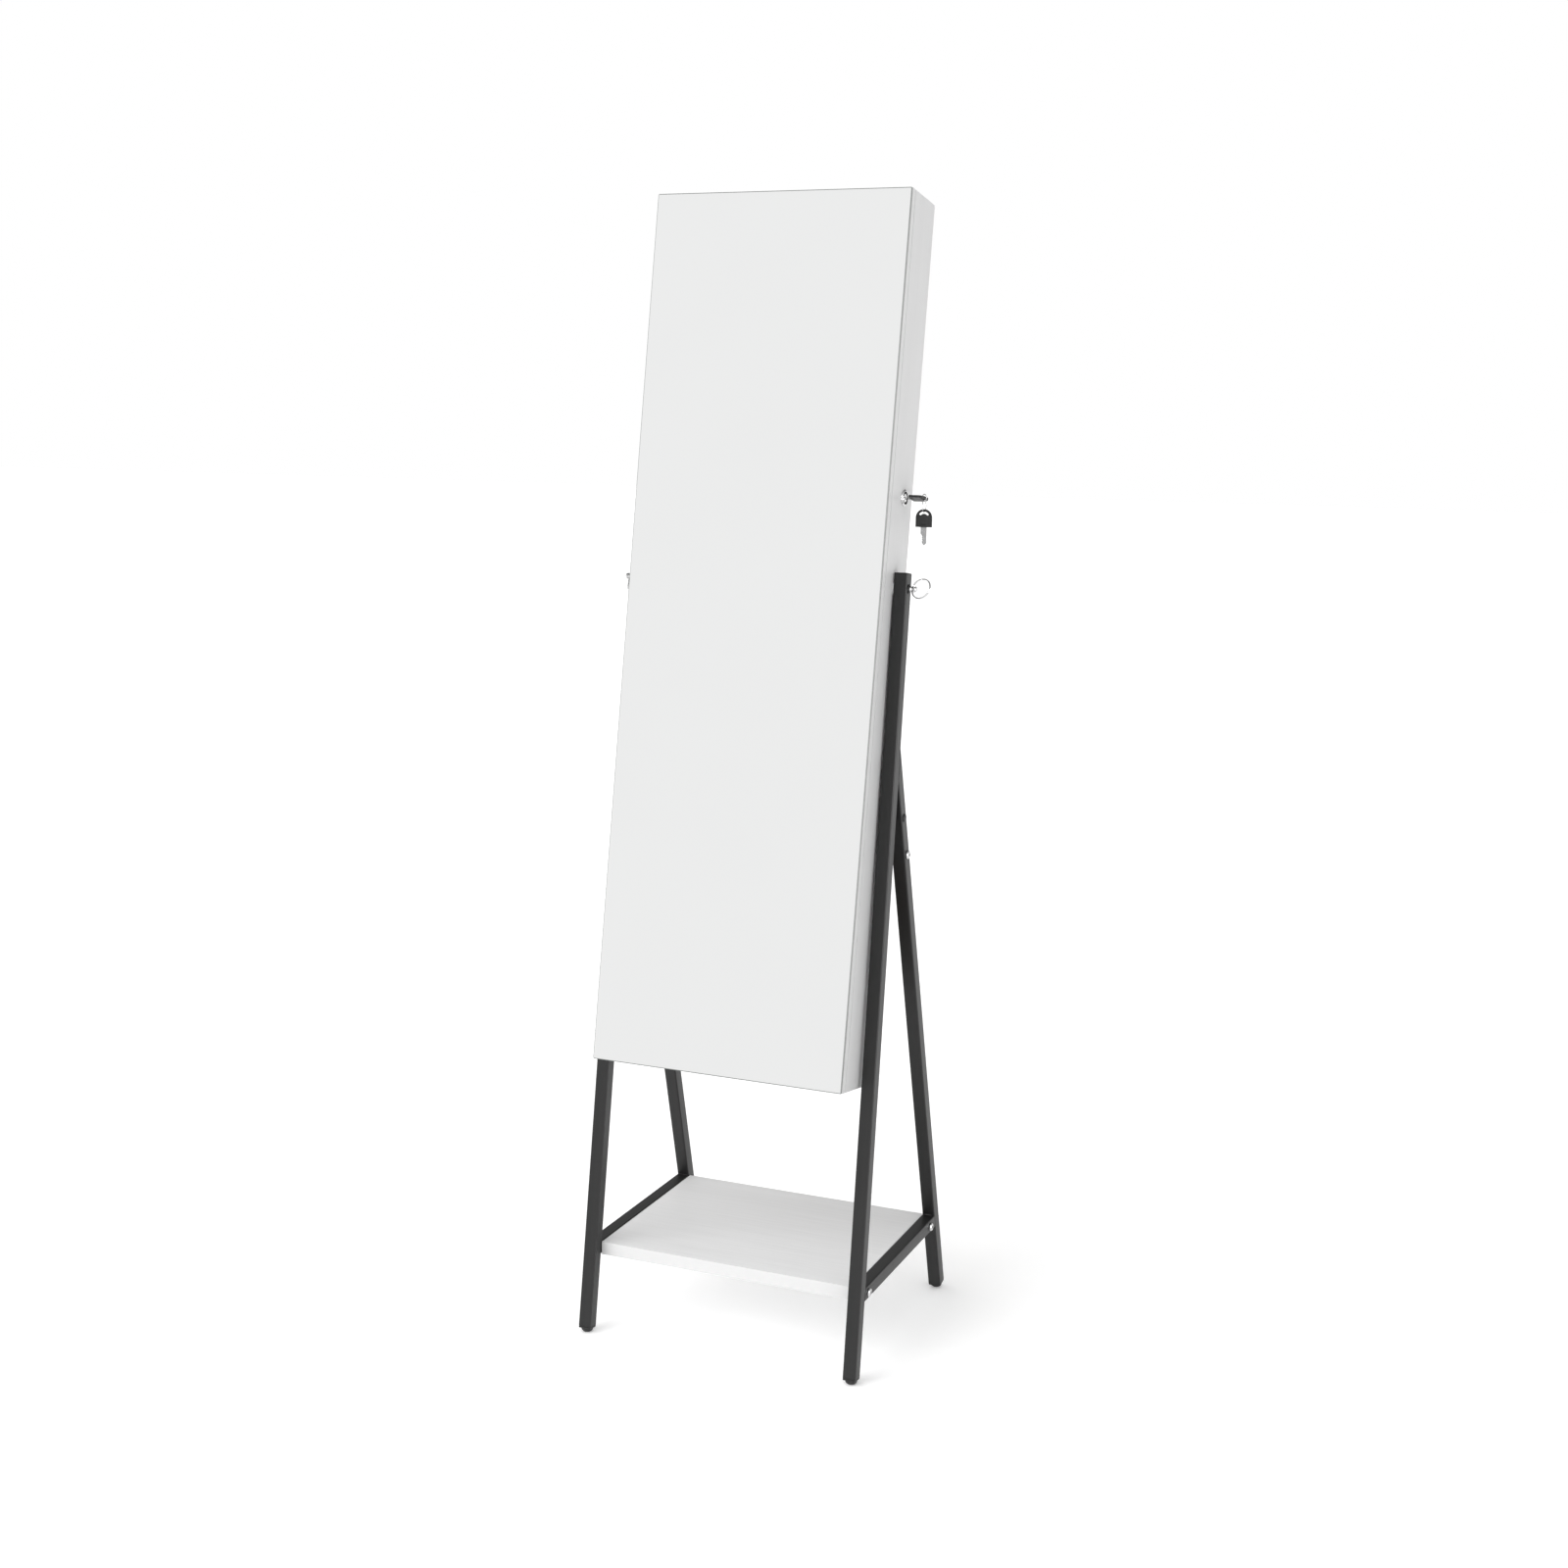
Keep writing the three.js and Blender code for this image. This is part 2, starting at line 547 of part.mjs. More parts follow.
// Blade along -X from the bow, stepped on one edge and pointed
function keyBlade(length) {
  const half = BLADE_WIDTH / 2;
  const shape = new THREE.Shape();
  shape.moveTo(-GAP, -half);
  shape.lineTo(-GAP, half);
  shape.lineTo(-0.36 * length, half);
  shape.lineTo(-0.45 * length, half - 2);
  shape.lineTo(-0.8 * length, half - 2);
  shape.lineTo(-length, -0.6);
  shape.lineTo(-0.88 * length, -half);
  return extrude(shape, BLADE_THICK).translate(0, 0, -BLADE_THICK / 2);
}

// The key ring's upper link goes through the front part of the bow's slot
const UPPER_LINK_R = 4.6;
const LOWER_LINK_R = 8;
const LINK_WIRE_R = 0.55;
const CHAIN_TURN = -38 * RAD; // direction of the upper link from the middle of the bow's dome
const CHAIN_REACH = BOW_R - 0.5;
const BOW_SLOPE = KEY_TURN - TILT;
const CHAIN_X = KEY_STANDOFF + BOW_LENGTH - BOW_R + CHAIN_REACH * Math.cos(CHAIN_TURN);
const CHAIN_Y = CHAIN_REACH * Math.sin(CHAIN_TURN) * Math.cos(BOW_SLOPE);
const RIM_Z = CHAIN_REACH * Math.sin(CHAIN_TURN) * Math.sin(BOW_SLOPE);
const UPPER_LINK_Z = RIM_Z - 0.6;
const LOWER_LINK_Z = UPPER_LINK_Z - UPPER_LINK_R + 2 * LINK_WIRE_R + GAP - LOWER_LINK_R;
const SPARE_SLOT_TOP = LOWER_LINK_Z - LOWER_LINK_R + LINK_WIRE_R + GAP;
const SPARE_BOW_TOP = SPARE_SLOT_TOP + BOW_R - SLOT_OUTER_R;

// The spare hangs plumb: its axis vertical, its broad face to the front
function hangingSpare(geometry) {
  const upright = geometry.translate(-BOW_LENGTH, 0, 0).rotateX(90 * RAD).rotateY(-90 * RAD);
  return upright.translate(CHAIN_X, CHAIN_Y, SPARE_BOW_TOP);
}

// Key pieces in the lock's frame, with the key turned and pushed in
function insertedKey(geometry) {
  return geometry.rotateX(KEY_TURN).translate(KEY_STANDOFF, 0, 0);
}

function addLock(cabinet) {
  const lock = new THREE.Group();
  lock.position.set(HALF, LOCK_Y, LOCK_Z);
  addPiece(lock, 'lock_body', lockBody(), chrome);
  addPiece(lock, 'lock_plug', lockPlug(), chrome);
  addPiece(lock, 'lock_cam', lockCam(), zincSteel);
  addPiece(lock, 'key_blade', insertedKey(keyBlade(BLADE_LENGTH)), zincSteel);
  addPiece(lock, 'key_bow', insertedKey(keyBow()), blackPlastic);
  cabinet.add(lock);

  const chain = new THREE.Group(); // level in the world, so that the links and the spare hang plumb
  chain.position.set(HALF, LOCK_Y, LOCK_Z);
  chain.rotation.x = TILT;
  const upper = torus(UPPER_LINK_R, LINK_WIRE_R, 6, 20).rotateX(90 * RAD).rotateZ(CHAIN_TURN);
  addPiece(chain, 'key_link_upper', upper, chrome, [CHAIN_X, CHAIN_Y, UPPER_LINK_Z]);
  const lower = torus(LOWER_LINK_R, LINK_WIRE_R, 6, 24).rotateY(90 * RAD);
  addPiece(chain, 'key_link_lower', lower, chrome, [CHAIN_X, CHAIN_Y, LOWER_LINK_Z]);
  addPiece(chain, 'spare_key_bow', hangingSpare(keyBow()), blackPlastic);
  addPiece(chain, 'spare_key_blade', hangingSpare(keyBlade(SPARE_BLADE_LENGTH)), zincSteel);
  cabinet.add(chain);
}

// ---------------------------------------------------------------- door

// Strike on the door's back: two ears and a bar that the cam passes under
function strikePlate() {
  const camX = HALF - 24.5;
  const z = [LOCK_Z - 12, LOCK_Z + 12];
  const base = boxBetween([camX - 12, DOOR_BACK + GAP, z[0]], [camX + 12, DOOR_BACK + 1.8, z[1]]);
  const ears = [-12, 10.4].map((x) => {
    return boxBetween([camX + x, DOOR_BACK + GAP, z[0]], [camX + x + 1.6, DOOR_BACK + 15, z[1]]);
  });
  const bar = barX(2, camX - 11, camX + 11, DOOR_BACK + 11.5, LOCK_Z + 8.5, 12);
  return join(base, ...ears, bar);
}

function addDoor(cabinet) {
  const panel = boxBetween([-HALF, DOOR_FRONT, BOTTOM], [HALF, DOOR_BACK, TOP]);
  addPiece(cabinet, 'door_panel', panel, whiteBoard);
  const glass = boxBetween([-HALF, FRONT, BOTTOM], [HALF, FRONT + MIRROR_THICK, TOP]);
  addPiece(cabinet, 'mirror_glass', glass, mirrorSilver);
  addPiece(cabinet, 'strike_plate', strikePlate(), zincSteel);
  Object.entries(HINGE_LEVELS).forEach(([name, level]) => {
    addPiece(cabinet, `hinge_door_leaf_${name}`, doorLeaf(level), zincSteel);
    addPiece(cabinet, `hinge_cabinet_leaf_${name}`, cabinetLeaf(level), zincSteel);
  });
}

// ---------------------------------------------------------------- assembly

function buildStand() {
  const stand = new THREE.Group();
  [RIGHT, LEFT].forEach((side) => {
    addSideFrame(stand, side);
    addGlides(stand, side);
    addPlunger(stand, side);
  });
  addPiece(stand, 'shelf_board', shelfBoard(), whiteBoard);
  addPiece(stand, 'rear_crossbar', crossbar(), blackSteel, [0, rearLegY(CROSSBAR_Z), CROSSBAR_Z]);
  return stand;
}

// Catch under the top panel, on the lock's side
function magnetCatch() {
  const right = INSIDE - 10;
  const top = TOP - BOARD - GAP;
  return boxBetween([right - 40, BOX_FRONT, top - 18.7], [right, BOX_FRONT + 14, top]);
}

function buildCabinet() {
  const cabinet = new THREE.Group();
  [RIGHT, LEFT].forEach((side) => {
    addPiece(cabinet, `side_panel_${sideName(side)}`, sidePanel(side), whiteBoard);
    const bush = side === RIGHT ? pivotBush() : mirrored(pivotBush());
    addPiece(cabinet, `pivot_bush_${sideName(side)}`, bush, zincSteel);
  });
  addPiece(cabinet, 'top_panel', levelBoard(TOP - BOARD, TOP), whiteBoard);
  addPiece(cabinet, 'bottom_panel', levelBoard(BOTTOM, BOTTOM + BOARD), whiteBoard);
  const back = boxBetween([-HALF + 1, REAR - BACK_THICK, BOTTOM + 1], [HALF - 1, REAR, TOP - 1]);
  addPiece(cabinet, 'back_panel', back, darkHardboard);
  addPiece(cabinet, 'magnet_catch', magnetCatch(), whiteNylon);
  addInterior(cabinet);
  addDoor(cabinet);
  addLock(cabinet);
  cabinet.position.set(0, frontLegY(PIVOT_Z), PIVOT_Z);
  cabinet.rotation.x = -TILT;
  return cabinet;
}

const group = new THREE.Group();
group.add(buildStand());
group.add(buildCabinet());

// The origin is the centre of the footprint, on the floor
group.updateMatrixWorld(true);
const bounds = new THREE.Box3().setFromObject(group, true);
const centre = bounds.getCenter(new THREE.Vector3());
group.position.set(-centre.x, -centre.y, -bounds.min.z);

export default group;
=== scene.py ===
"""The looks of a mirror cabinet on its stand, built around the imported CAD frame.

Shapes are written in millimetres, in the frame of the sub-assembly they belong to, and piece() turns them
into metres and puts them in place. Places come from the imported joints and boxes; the other sizes are the
driving dimensions of the CAD model.
"""
import json
import math

import bmesh
import bpy
from mathutils import Matrix, Vector


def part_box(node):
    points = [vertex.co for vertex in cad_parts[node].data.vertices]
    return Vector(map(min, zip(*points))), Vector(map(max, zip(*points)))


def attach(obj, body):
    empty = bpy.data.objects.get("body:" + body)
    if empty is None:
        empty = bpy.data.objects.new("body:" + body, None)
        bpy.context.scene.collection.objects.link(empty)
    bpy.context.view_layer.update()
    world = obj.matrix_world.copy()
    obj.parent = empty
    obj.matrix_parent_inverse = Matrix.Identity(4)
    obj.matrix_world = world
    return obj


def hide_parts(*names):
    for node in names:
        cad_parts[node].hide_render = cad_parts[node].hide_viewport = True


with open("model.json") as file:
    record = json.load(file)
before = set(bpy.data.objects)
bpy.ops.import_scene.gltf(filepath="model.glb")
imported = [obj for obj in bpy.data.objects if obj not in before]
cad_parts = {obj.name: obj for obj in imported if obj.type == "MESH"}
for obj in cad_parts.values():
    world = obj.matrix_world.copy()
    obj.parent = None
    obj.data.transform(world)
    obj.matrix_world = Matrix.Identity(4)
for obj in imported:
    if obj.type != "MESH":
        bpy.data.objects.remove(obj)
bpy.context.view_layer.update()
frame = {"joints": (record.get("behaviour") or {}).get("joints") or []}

MM = 0.001
QUARTER = math.radians(90)
RIGHT, LEFT = 1, -1
SIDE_NAMES = {RIGHT: "right", LEFT: "left"}
JOINTS = {joint["name"]: joint for joint in frame["joints"]}

# Stand
TUBE = 19
TUBE_WALL = 1.2
TUBE_CORNER = 1.9
STAND_TOP = 1090
INNER_TOP = 186.8
SPLAY = math.radians(0.33)
FRONT_LEAN = math.radians(8)
REAR_LEAN = math.radians(15.8)
FRONT_FOOT_Y = -180
REAR_FOOT_Y = 183.5
LEG_BOTTOM = 9
CROSSBAR_Z = 705.6
HOLE_PLUG_Z = 759.5
SHELF_BOLTS_Y = (-140.5, 119.5)
RAIL_ABOVE_SHELF = 1
HARDWARE_BORE_R = 5
WELD_INSET = 1.6

# Cabinet
CAB_WIDTH = 371
CAB_HEIGHT = 1200
CAB_DEPTH = 98
PIVOT_FROM_FRONT = 53.5
PIVOT_FROM_BOTTOM = 676.6
GLASS = 3
GLASS_CHAMFER = 1.3
DOOR_THICK = 11.4
SEAM = 0.8
BOARD = 9
BACK_THICK = 4
GAP = 0.3
BAND_THICK = 0.5
BACK_PIN_ROWS, BACK_PIN_COLUMNS = 9, 4
BACK_PIN_INSET = 6
SHELF_LEVELS = {"lower": 250, "middle": 470, "upper": 700}
INNER_SHELF_THICK = 8
INNER_SHELF_INSET = 14
PEGS = 9
PEG_PITCH = 36
PEG_RAIL_FROM_TOP = 70
CUSHION_ROLLS = 5
EARRING_LEVEL = 850
EARRING_HEIGHT = 200
EARRING_RIBS = 4
HINGE_FROM_END = 140

# Lock, keys and plungers
LOCK_FROM_FRONT = 63
LOCK_FROM_BOTTOM = 799.4
ESCUTCHEON_R = 11.4
BARREL_R = 8.2
BARREL_RIBS = 12
BARREL_END = -22
CAM_X = -24.5
PLUG_R = 6
BOW_R = 11.5
BOW_LENGTH = 24
BOW_THICK = 3.2
BLADE_THICK = 2
BLADE_WIDTH = 8
SLOT_INNER_R, SLOT_OUTER_R = 5.3, 8.3
KEY_STANDOFF = 10
KEY_TURN = math.radians(-8)
BLADE_LENGTH = 28
SPARE_BLADE_LENGTH = 24.4
CHAIN_TURN = math.radians(-38)
PIN_R = 3
PIN_BORE = PIN_R + 0.25
RING_R = 13.8
RING_WIRE_R = 0.8
RING_SAG = 0.36
RING_HOLE = 3.4
RING_LEAN = math.radians(27)
RING_SWING = {RIGHT: math.radians(-15), LEFT: math.radians(-66)}

# Camera and light
CAMERA_FROM_PIVOT = (1.14627, -2.68077, 0.23199)
CAMERA_YAW, CAMERA_PITCH, CAMERA_ROLL = 0.39494, 0.17419, 0.01419
CAMERA_LENS = 48.614
FLOOR_GLOW = 0.18
WHITE = (1, 1, 1, 1)
BRIGHT_SIDE = Vector((-0.55, -0.8, 0.25))
# Ramps over how far a direction points somewhere: its start, its end and the value at each.
# The first is the sky's strength towards the bright side, and the others are what reflections see.
SOFT_SKY = (-0.6, 0.55, 0.62, 1.0)
CEILING = (0.45, 0.9, 1.0, 0.25)
REARWARD = (0.2, 0.85, 0.0, 0.75)
ABOVE_HORIZON = (0.02, 0.3, 0.0, 1.0)

PIVOT = Vector(JOINTS["cabinet_tilt"]["pos_m"])
HINGE_AXIS = Vector(JOINTS["door_swing"]["axis"])
TILT = math.atan2(-HINGE_AXIS.y, -HINGE_AXIS.z)
PIVOT_Z = PIVOT.z / MM


# -------- places

def front_leg_y(z):
    return FRONT_FOOT_Y + z * math.tan(FRONT_LEAN)


def rear_leg_y(z):
    return REAR_FOOT_Y - z * math.tan(REAR_LEAN)


def frame_centre_x(z):
    return INNER_TOP + TUBE / 2 + (STAND_TOP - z) * math.tan(SPLAY)


def shift(x=0.0, y=0.0, z=0.0):
    """A move, in millimetres."""
    return Matrix.Translation(Vector((x, y, z)) * MM)


def turn(angle, axis):
    return Matrix.Rotation(angle, 4, axis)


STAND = Matrix.Translation((PIVOT.x, PIVOT.y - front_leg_y(PIVOT_Z) * MM, 0))
CABINET = Matrix.Translation(PIVOT) @ turn(-TILT, "X")
HALF = CAB_WIDTH / 2
FRONT = -PIVOT_FROM_FRONT
REAR = FRONT + CAB_DEPTH
BOTTOM = -PIVOT_FROM_BOTTOM
TOP = BOTTOM + CAB_HEIGHT
DOOR_FRONT = FRONT + GLASS + GAP
DOOR_BACK = DOOR_FRONT + DOOR_THICK
BOX_FRONT = DOOR_BACK + SEAM
BOX_REAR = REAR - BACK_THICK - GAP
INSIDE = HALF - BOARD
LOCK_Y = FRONT + LOCK_FROM_FRONT
LOCK_Z = BOTTOM + LOCK_FROM_BOTTOM
LOCK = CABINET @ shift(HALF, LOCK_Y, LOCK_Z)
KEYS = LOCK @ turn(TILT, "X")


def side_frame(side):
    """The frame of one side of the stand: z is the height, and x = 0 is the tubes' middle plane."""
    out = shift(side * frame_centre_x(STAND_TOP), 0, STAND_TOP)
    return STAND @ out @ turn(-side * SPLAY, "Y") @ shift(0, 0, -STAND_TOP)


def facing(side):
    """Turns hardware that is drawn for the right side so that it faces outwards on either side."""
    return Matrix.Identity(4) if side == RIGHT else turn(math.pi, "Z")


# -------- shapes: (points, faces) in millimetres

def skin(loops, closed=True, capped=False):
    """A surface through loops of equal length. closed joins the last loop to the first."""
    count = len(loops[0])
    points = [tuple(point) for loop in loops for point in loop]
    faces = []
    for row in range(len(loops) if closed else len(loops) - 1):
        low, high = row * count, (row + 1) % len(loops) * count
        for index in range(count):
            after = (index + 1) % count
            faces.append((low + index, low + after, high + after, high + index))
    if capped:
        faces.append(tuple(range(count)))
        faces.append(tuple(range(len(points) - count, len(points))))
    return points, faces


def merged(*shapes):
    points, faces = [], []
    for shape_points, shape_faces in shapes:
        start = len(points)
        points += shape_points
        faces += [tuple(start + index for index in face) for face in shape_faces]
    return points, faces


def moved(shape, matrix):
    """The shape moved by a matrix that is written in metres."""
    points, faces = shape
    return [tuple((matrix @ (Vector(point) * MM)) / MM) for point in points], faces


def eased(points, radius, steps=3, closed=False):
    """The outline with each corner rounded, by at most half of the shorter side beside it."""
    made = []
    count = len(points)
    for index, point in enumerate(points):
        if not closed and index in (0, count - 1):
            made.append(tuple(point))
            continue
        here, before, after = (Vector(points[i % count]) for i in (index, index - 1, index + 1))
        reach = min(radius, (before - here).length * 0.45, (after - here).length * 0.45)
        start = here + (before - here).normalized() * reach
        end = here + (after - here).normalized() * reach
        for step in range(steps + 1):
            t = step / steps
            made.append(tuple(start * (1 - t) ** 2 + here * 2 * t * (1 - t) + end * t * t))
    return made


def turned(profile, steps=48):
    """A solid turned about X from (radius, x) points, which end on the axis or close on themselves."""
    points, rings, faces = [], [], []
    for radius, x in profile:
        size = 1 if radius < 1e-6 else steps
        rings.append(list(range(len(points), len(points) + size)))
        for index in range(size):
            angle = math.tau * index / steps
            points.append((x, radius * math.cos(angle), radius * math.sin(angle)))
    around = list(zip(rings, rings[1:]))
    if len(rings[0]) > 1:
        around.append((rings[-1], rings[0]))
    for low, high in around:
        for index in range(steps):
            after = (index + 1) % steps
            corners = (low[index % len(low)], low[after % len(low)])
            corners += (high[after % len(high)], high[index % len(high)])
            faces.append(tuple(dict.fromkeys(corners)))
    return points, [face for face in faces if len(face) > 2]


def rod(radius, start, end, ease=0.3, steps=32):
    """A round bar along X with eased ends."""
    profile = [(0, start), (radius, start), (radius, end), (0, end)]
    return turned(eased(profile, ease), steps)


def block(low, high, ease=0.5, steps=2):
    """A box with eased edges."""
    mesh = bmesh.new()
    size = [b - a for a, b in zip(low, high)]
    middle = [(a + b) / 2 for a, b in zip(low, high)]
    bmesh.ops.create_cube(mesh, size=1, matrix=Matrix.LocRotScale(middle, None, size))
    rounding = {"offset": ease, "segments": steps, "profile": 0.5, "affect": "EDGES", "clamp_overlap": True}
    bmesh.ops.bevel(mesh, geom=mesh.edges[:], **rounding)
    return unpacked(mesh)


def linked(name, data):
    """A new object in the scene."""
    made = bpy.data.objects.new(name, data)
    bpy.context.scene.collection.objects.link(made)
    return made


def outward_mesh(name, points, faces):
    """A mesh whose faces all look outwards."""
    mesh = bpy.data.meshes.new(name)
    mesh.from_pydata(points, [], faces)
    work = bmesh.new()
    work.from_mesh(mesh)
    bmesh.ops.recalc_face_normals(work, faces=work.faces[:])
    work.to_mesh(mesh)
    work.free()
    return mesh


def evaluated(holder, *tools):
    """What an object's mesh comes out as. The object and its tools are then removed."""
    bpy.context.view_layer.update()
    made = bpy.data.meshes.new_from_object(holder.evaluated_get(bpy.context.evaluated_depsgraph_get()))
    for used in (holder, *tools):
        bpy.data.objects.remove(used)
    mesh = bmesh.new()
    mesh.from_mesh(made)
    return mesh


def unpacked(mesh):
    """The points and faces of a working mesh, which is freed."""
    mesh.verts.index_update()
    points = [tuple(v.co) for v in mesh.verts]
    faces = [tuple(v.index for v in face.verts) for face in mesh.faces]
    mesh.free()
    return points, faces


def plate(outlines, thickness, ease=0.2):
    """A flat plate in XY with eased edges. The first outline is its edge and the others are its holes."""
    curve = bpy.data.curves.new("outline", "CURVE")
    curve.dimensions = "2D"
    curve.fill_mode = "BOTH"
    curve.extrude = thickness / 2 - ease
    curve.bevel_depth = ease
    curve.bevel_resolution = 2
    curve.offset = -ease
    for outline in outlines:
        spline = curve.splines.new("POLY")
        spline.points.add(len(outline) - 1)
        for point, place in zip(spline.points, outline):
            point.co = (place[0], place[1], 0, 1)
        spline.use_cyclic_u = True
    mesh = evaluated(linked("outline", curve))
    bmesh.ops.remove_doubles(mesh, verts=mesh.verts[:], dist=1e-4)
    return unpacked(mesh)


def rope(path, radius, sides=10, closed=False):
    """A round wire along a path. radius is a number, or a function of the share of the way along."""
    count = len(path)
    points = [Vector(point) for point in path]
    loops, normal = [], None
    for index, point in enumerate(points):
        after = points[(index + 1) % count] if closed or index < count - 1 else point
        before = points[index - 1] if closed or index else point
        along = (after - before).normalized()
        if normal is None:
            normal = along.orthogonal().normalized()
        normal = (normal - along * normal.dot(along)).normalized()
        other = along.cross(normal)
        reach = radius(index / count) if callable(radius) else radius
        angles = [math.tau * side / sides for side in range(sides)]
        loops.append([point + (normal * math.cos(a) + other * math.sin(a)) * reach for a in angles])
    return skin(loops, closed=closed, capped=not closed)


def across(reach, y, z, steps):
    """Points along X, as far to one side as to the other."""
    return [(reach * (2 * step / steps - 1), y, z) for step in range(steps + 1)]


def circle(radius, steps, first, second):
    """Points round a circle, from its first direction towards its second."""
    angles = [math.tau * step / steps for step in range(steps)]
    return [(Vector(first) * math.cos(a) + Vector(second) * math.sin(a)) * radius for a in angles]


def arc(centre, radius, start, end, steps=16):
    """Points on an arc in XY, between two angles in degrees."""
    angles = [math.radians(start + (end - start) * step / steps) for step in range(steps + 1)]
    return [(centre[0] + radius * math.cos(a), centre[1] + radius * math.sin(a)) for a in angles]


def square_outline(width, corner, steps=6):
    reach = width / 2 - corner
    corners = [(reach, reach), (-reach, reach), (-reach, -reach), (reach, -reach)]
    points = []
    for quarter, centre in enumerate(corners):
        points += arc(centre, corner, 90 * quarter, 90 * (quarter + 1), steps)
    return points


def square_tube(start, end):
    """A hollow square tube along Z, cut at each end by a plane: (point, normal)."""
    outer = square_outline(TUBE, TUBE_CORNER)
    inner = square_outline(TUBE - 2 * TUBE_WALL, TUBE_CORNER - TUBE_WALL)

    def cut(outline, plane):
        point, normal = plane
        drop = [((x - point.x) * normal.x + (y - point.y) * normal.y) / normal.z for x, y in outline]
        return [(x, y, point.z - fall) for (x, y), fall in zip(outline, drop)]

    return skin([cut(outer, start), cut(outer, end), cut(inner, end), cut(inner, start)])


def carved(shape, *cutters):
    """The shape with the cutters' space taken out."""
    whole, *tools = [linked("solid", outward_mesh("solid", *each)) for each in (shape, *cutters)]
    for tool in tools:
        modifier = whole.modifiers.new("cut", "BOOLEAN")
        modifier.object = tool
        modifier.solver = "EXACT"
    return unpacked(evaluated(whole, *tools))


def piece(name, shape, look, body, place, replaces=(), sharp=38, choose=None):
    """A finished piece: the shape in metres, at its place, with its materials, riding on its body.

    choose gives the number of each face's material, from its centre in millimetres and its normal.
    """
    mesh = outward_mesh(name, [Vector(point) * MM for point in shape[0]], shape[1])
    looks = look if isinstance(look, (list, tuple)) else [look]
    for each in looks:
        mesh.materials.append(each)
    if choose:
        for face in mesh.polygons:
            face.material_index = choose(face.center / MM, face.normal)
    mesh.shade_smooth()
    mesh.set_sharp_from_angle(angle=math.radians(sharp))
    made = linked(name, mesh)
    made.matrix_world = place
    even = made.modifiers.new("even_shading", "WEIGHTED_NORMAL")
    even.keep_sharp = True
    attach(made, body)
    if replaces:
        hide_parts(*([replaces] if isinstance(replaces, str) else replaces))
    return made


# -------- materials

NOISE_LOW, NOISE_HIGH = 0.3, 0.7


def add_node(tree, kind, inputs=(), **settings):
    """A shader node. Each input is a value or the output of another node."""
    made = tree.nodes.new("ShaderNode" + kind)
    for setting, value in settings.items():
        setattr(made, setting, value)
    for socket, value in dict(inputs).items():
        if isinstance(value, bpy.types.NodeSocket):
            tree.links.new(value, made.inputs[socket])
        else:
            made.inputs[socket].default_value = value
    return made


def worked_out(tree, operation, a, b):
    return add_node(tree, "Math", {0: a, 1: b}, operation=operation).outputs[0]


def ramp(tree, value, start, end, low, high):
    """A value taken from one range to another and held at its ends."""
    fields = {"Value": value, "From Min": start, "From Max": end, "To Min": low, "To Max": high}
    return add_node(tree, "MapRange", fields).outputs[0]


class Look:
    """A Principled material under construction, with short calls for the nodes that feed it."""

    def __init__(self, name, values=()):
        self.material = bpy.data.materials.new(name)
        self.material.use_nodes = True
        self.tree = self.material.node_tree
        self.shader = self.tree.nodes["Principled BSDF"]
        for socket, value in dict(values).items():
            self.shader.inputs[socket].default_value = value
        self.place = self.tree.nodes.new("ShaderNodeTexCoord").outputs["Object"]

    def noise(self, scale, stretch=(1, 1, 1), detail=3.0, rough=0.5):
        """Noise from 0 to 1. stretch multiplies the frequency along each axis."""
        mapped = add_node(self.tree, "Mapping", {"Vector": self.place, "Scale": stretch})
        fields = {"Vector": mapped.outputs[0], "Scale": scale, "Detail": detail, "Roughness": rough}
        return add_node(self.tree, "TexNoise", fields).outputs["Fac"]

    def blend(self, first, second, share):
        """A share of the first noise and the rest of the second."""
        more = worked_out(self.tree, "MULTIPLY", first, share)
        return worked_out(self.tree, "ADD", more, worked_out(self.tree, "MULTIPLY", second, 1 - share))

    def feed(self, socket, value):
        self.tree.links.new(value, self.shader.inputs[socket])

    def tint(self, noise, low, high):
        """A base colour that noise moves between two."""
        made = add_node(self.tree, "ValToRGB", {"Fac": noise})
        stops = zip(made.color_ramp.elements, (NOISE_LOW, NOISE_HIGH), (low, high))
        for stop, position, colour in stops:
            stop.position = position
            stop.color = (*colour, 1)
        self.feed("Base Color", made.outputs[0])

    def matt(self, noise, low, high):
        """A roughness that noise moves between two."""
        self.feed("Roughness", ramp(self.tree, noise, NOISE_LOW, NOISE_HIGH, low, high))

    def bump(self, height, strength, distance):
        """Adds relief, on top of any relief given before. distance is in metres."""
        fields = {"Height": height, "Strength": strength, "Distance": distance}
        made = add_node(self.tree, "Bump", fields)
        normal = self.shader.inputs["Normal"]
        if normal.is_linked:
            self.tree.links.new(normal.links[0].from_socket, made.inputs["Normal"])
        self.feed("Normal", made.outputs[0])


def grey(value, warmth=0.0):
    return (value * (1 + warmth), value, value * (1 - warmth))


def powder_coat():
    """Satin black powder coat: a fine orange peel, faint streaks along the tube and rubbed patches."""
    look = Look("black_powder_coat", {"IOR": 1.42})
    streaks = look.noise(60, (1, 1, 0.03), 4)
    patches = look.noise(14, (1, 1, 0.35), 5)
    both = look.blend(streaks, patches, 0.45)
    look.tint(both, grey(0.009), grey(0.017))
    look.matt(both, 0.34, 0.48)
    look.bump(look.noise(900, detail=2), 0.18, 0.0002)
    look.bump(look.noise(150, detail=2), 0.05, 0.0004)
    return look.material


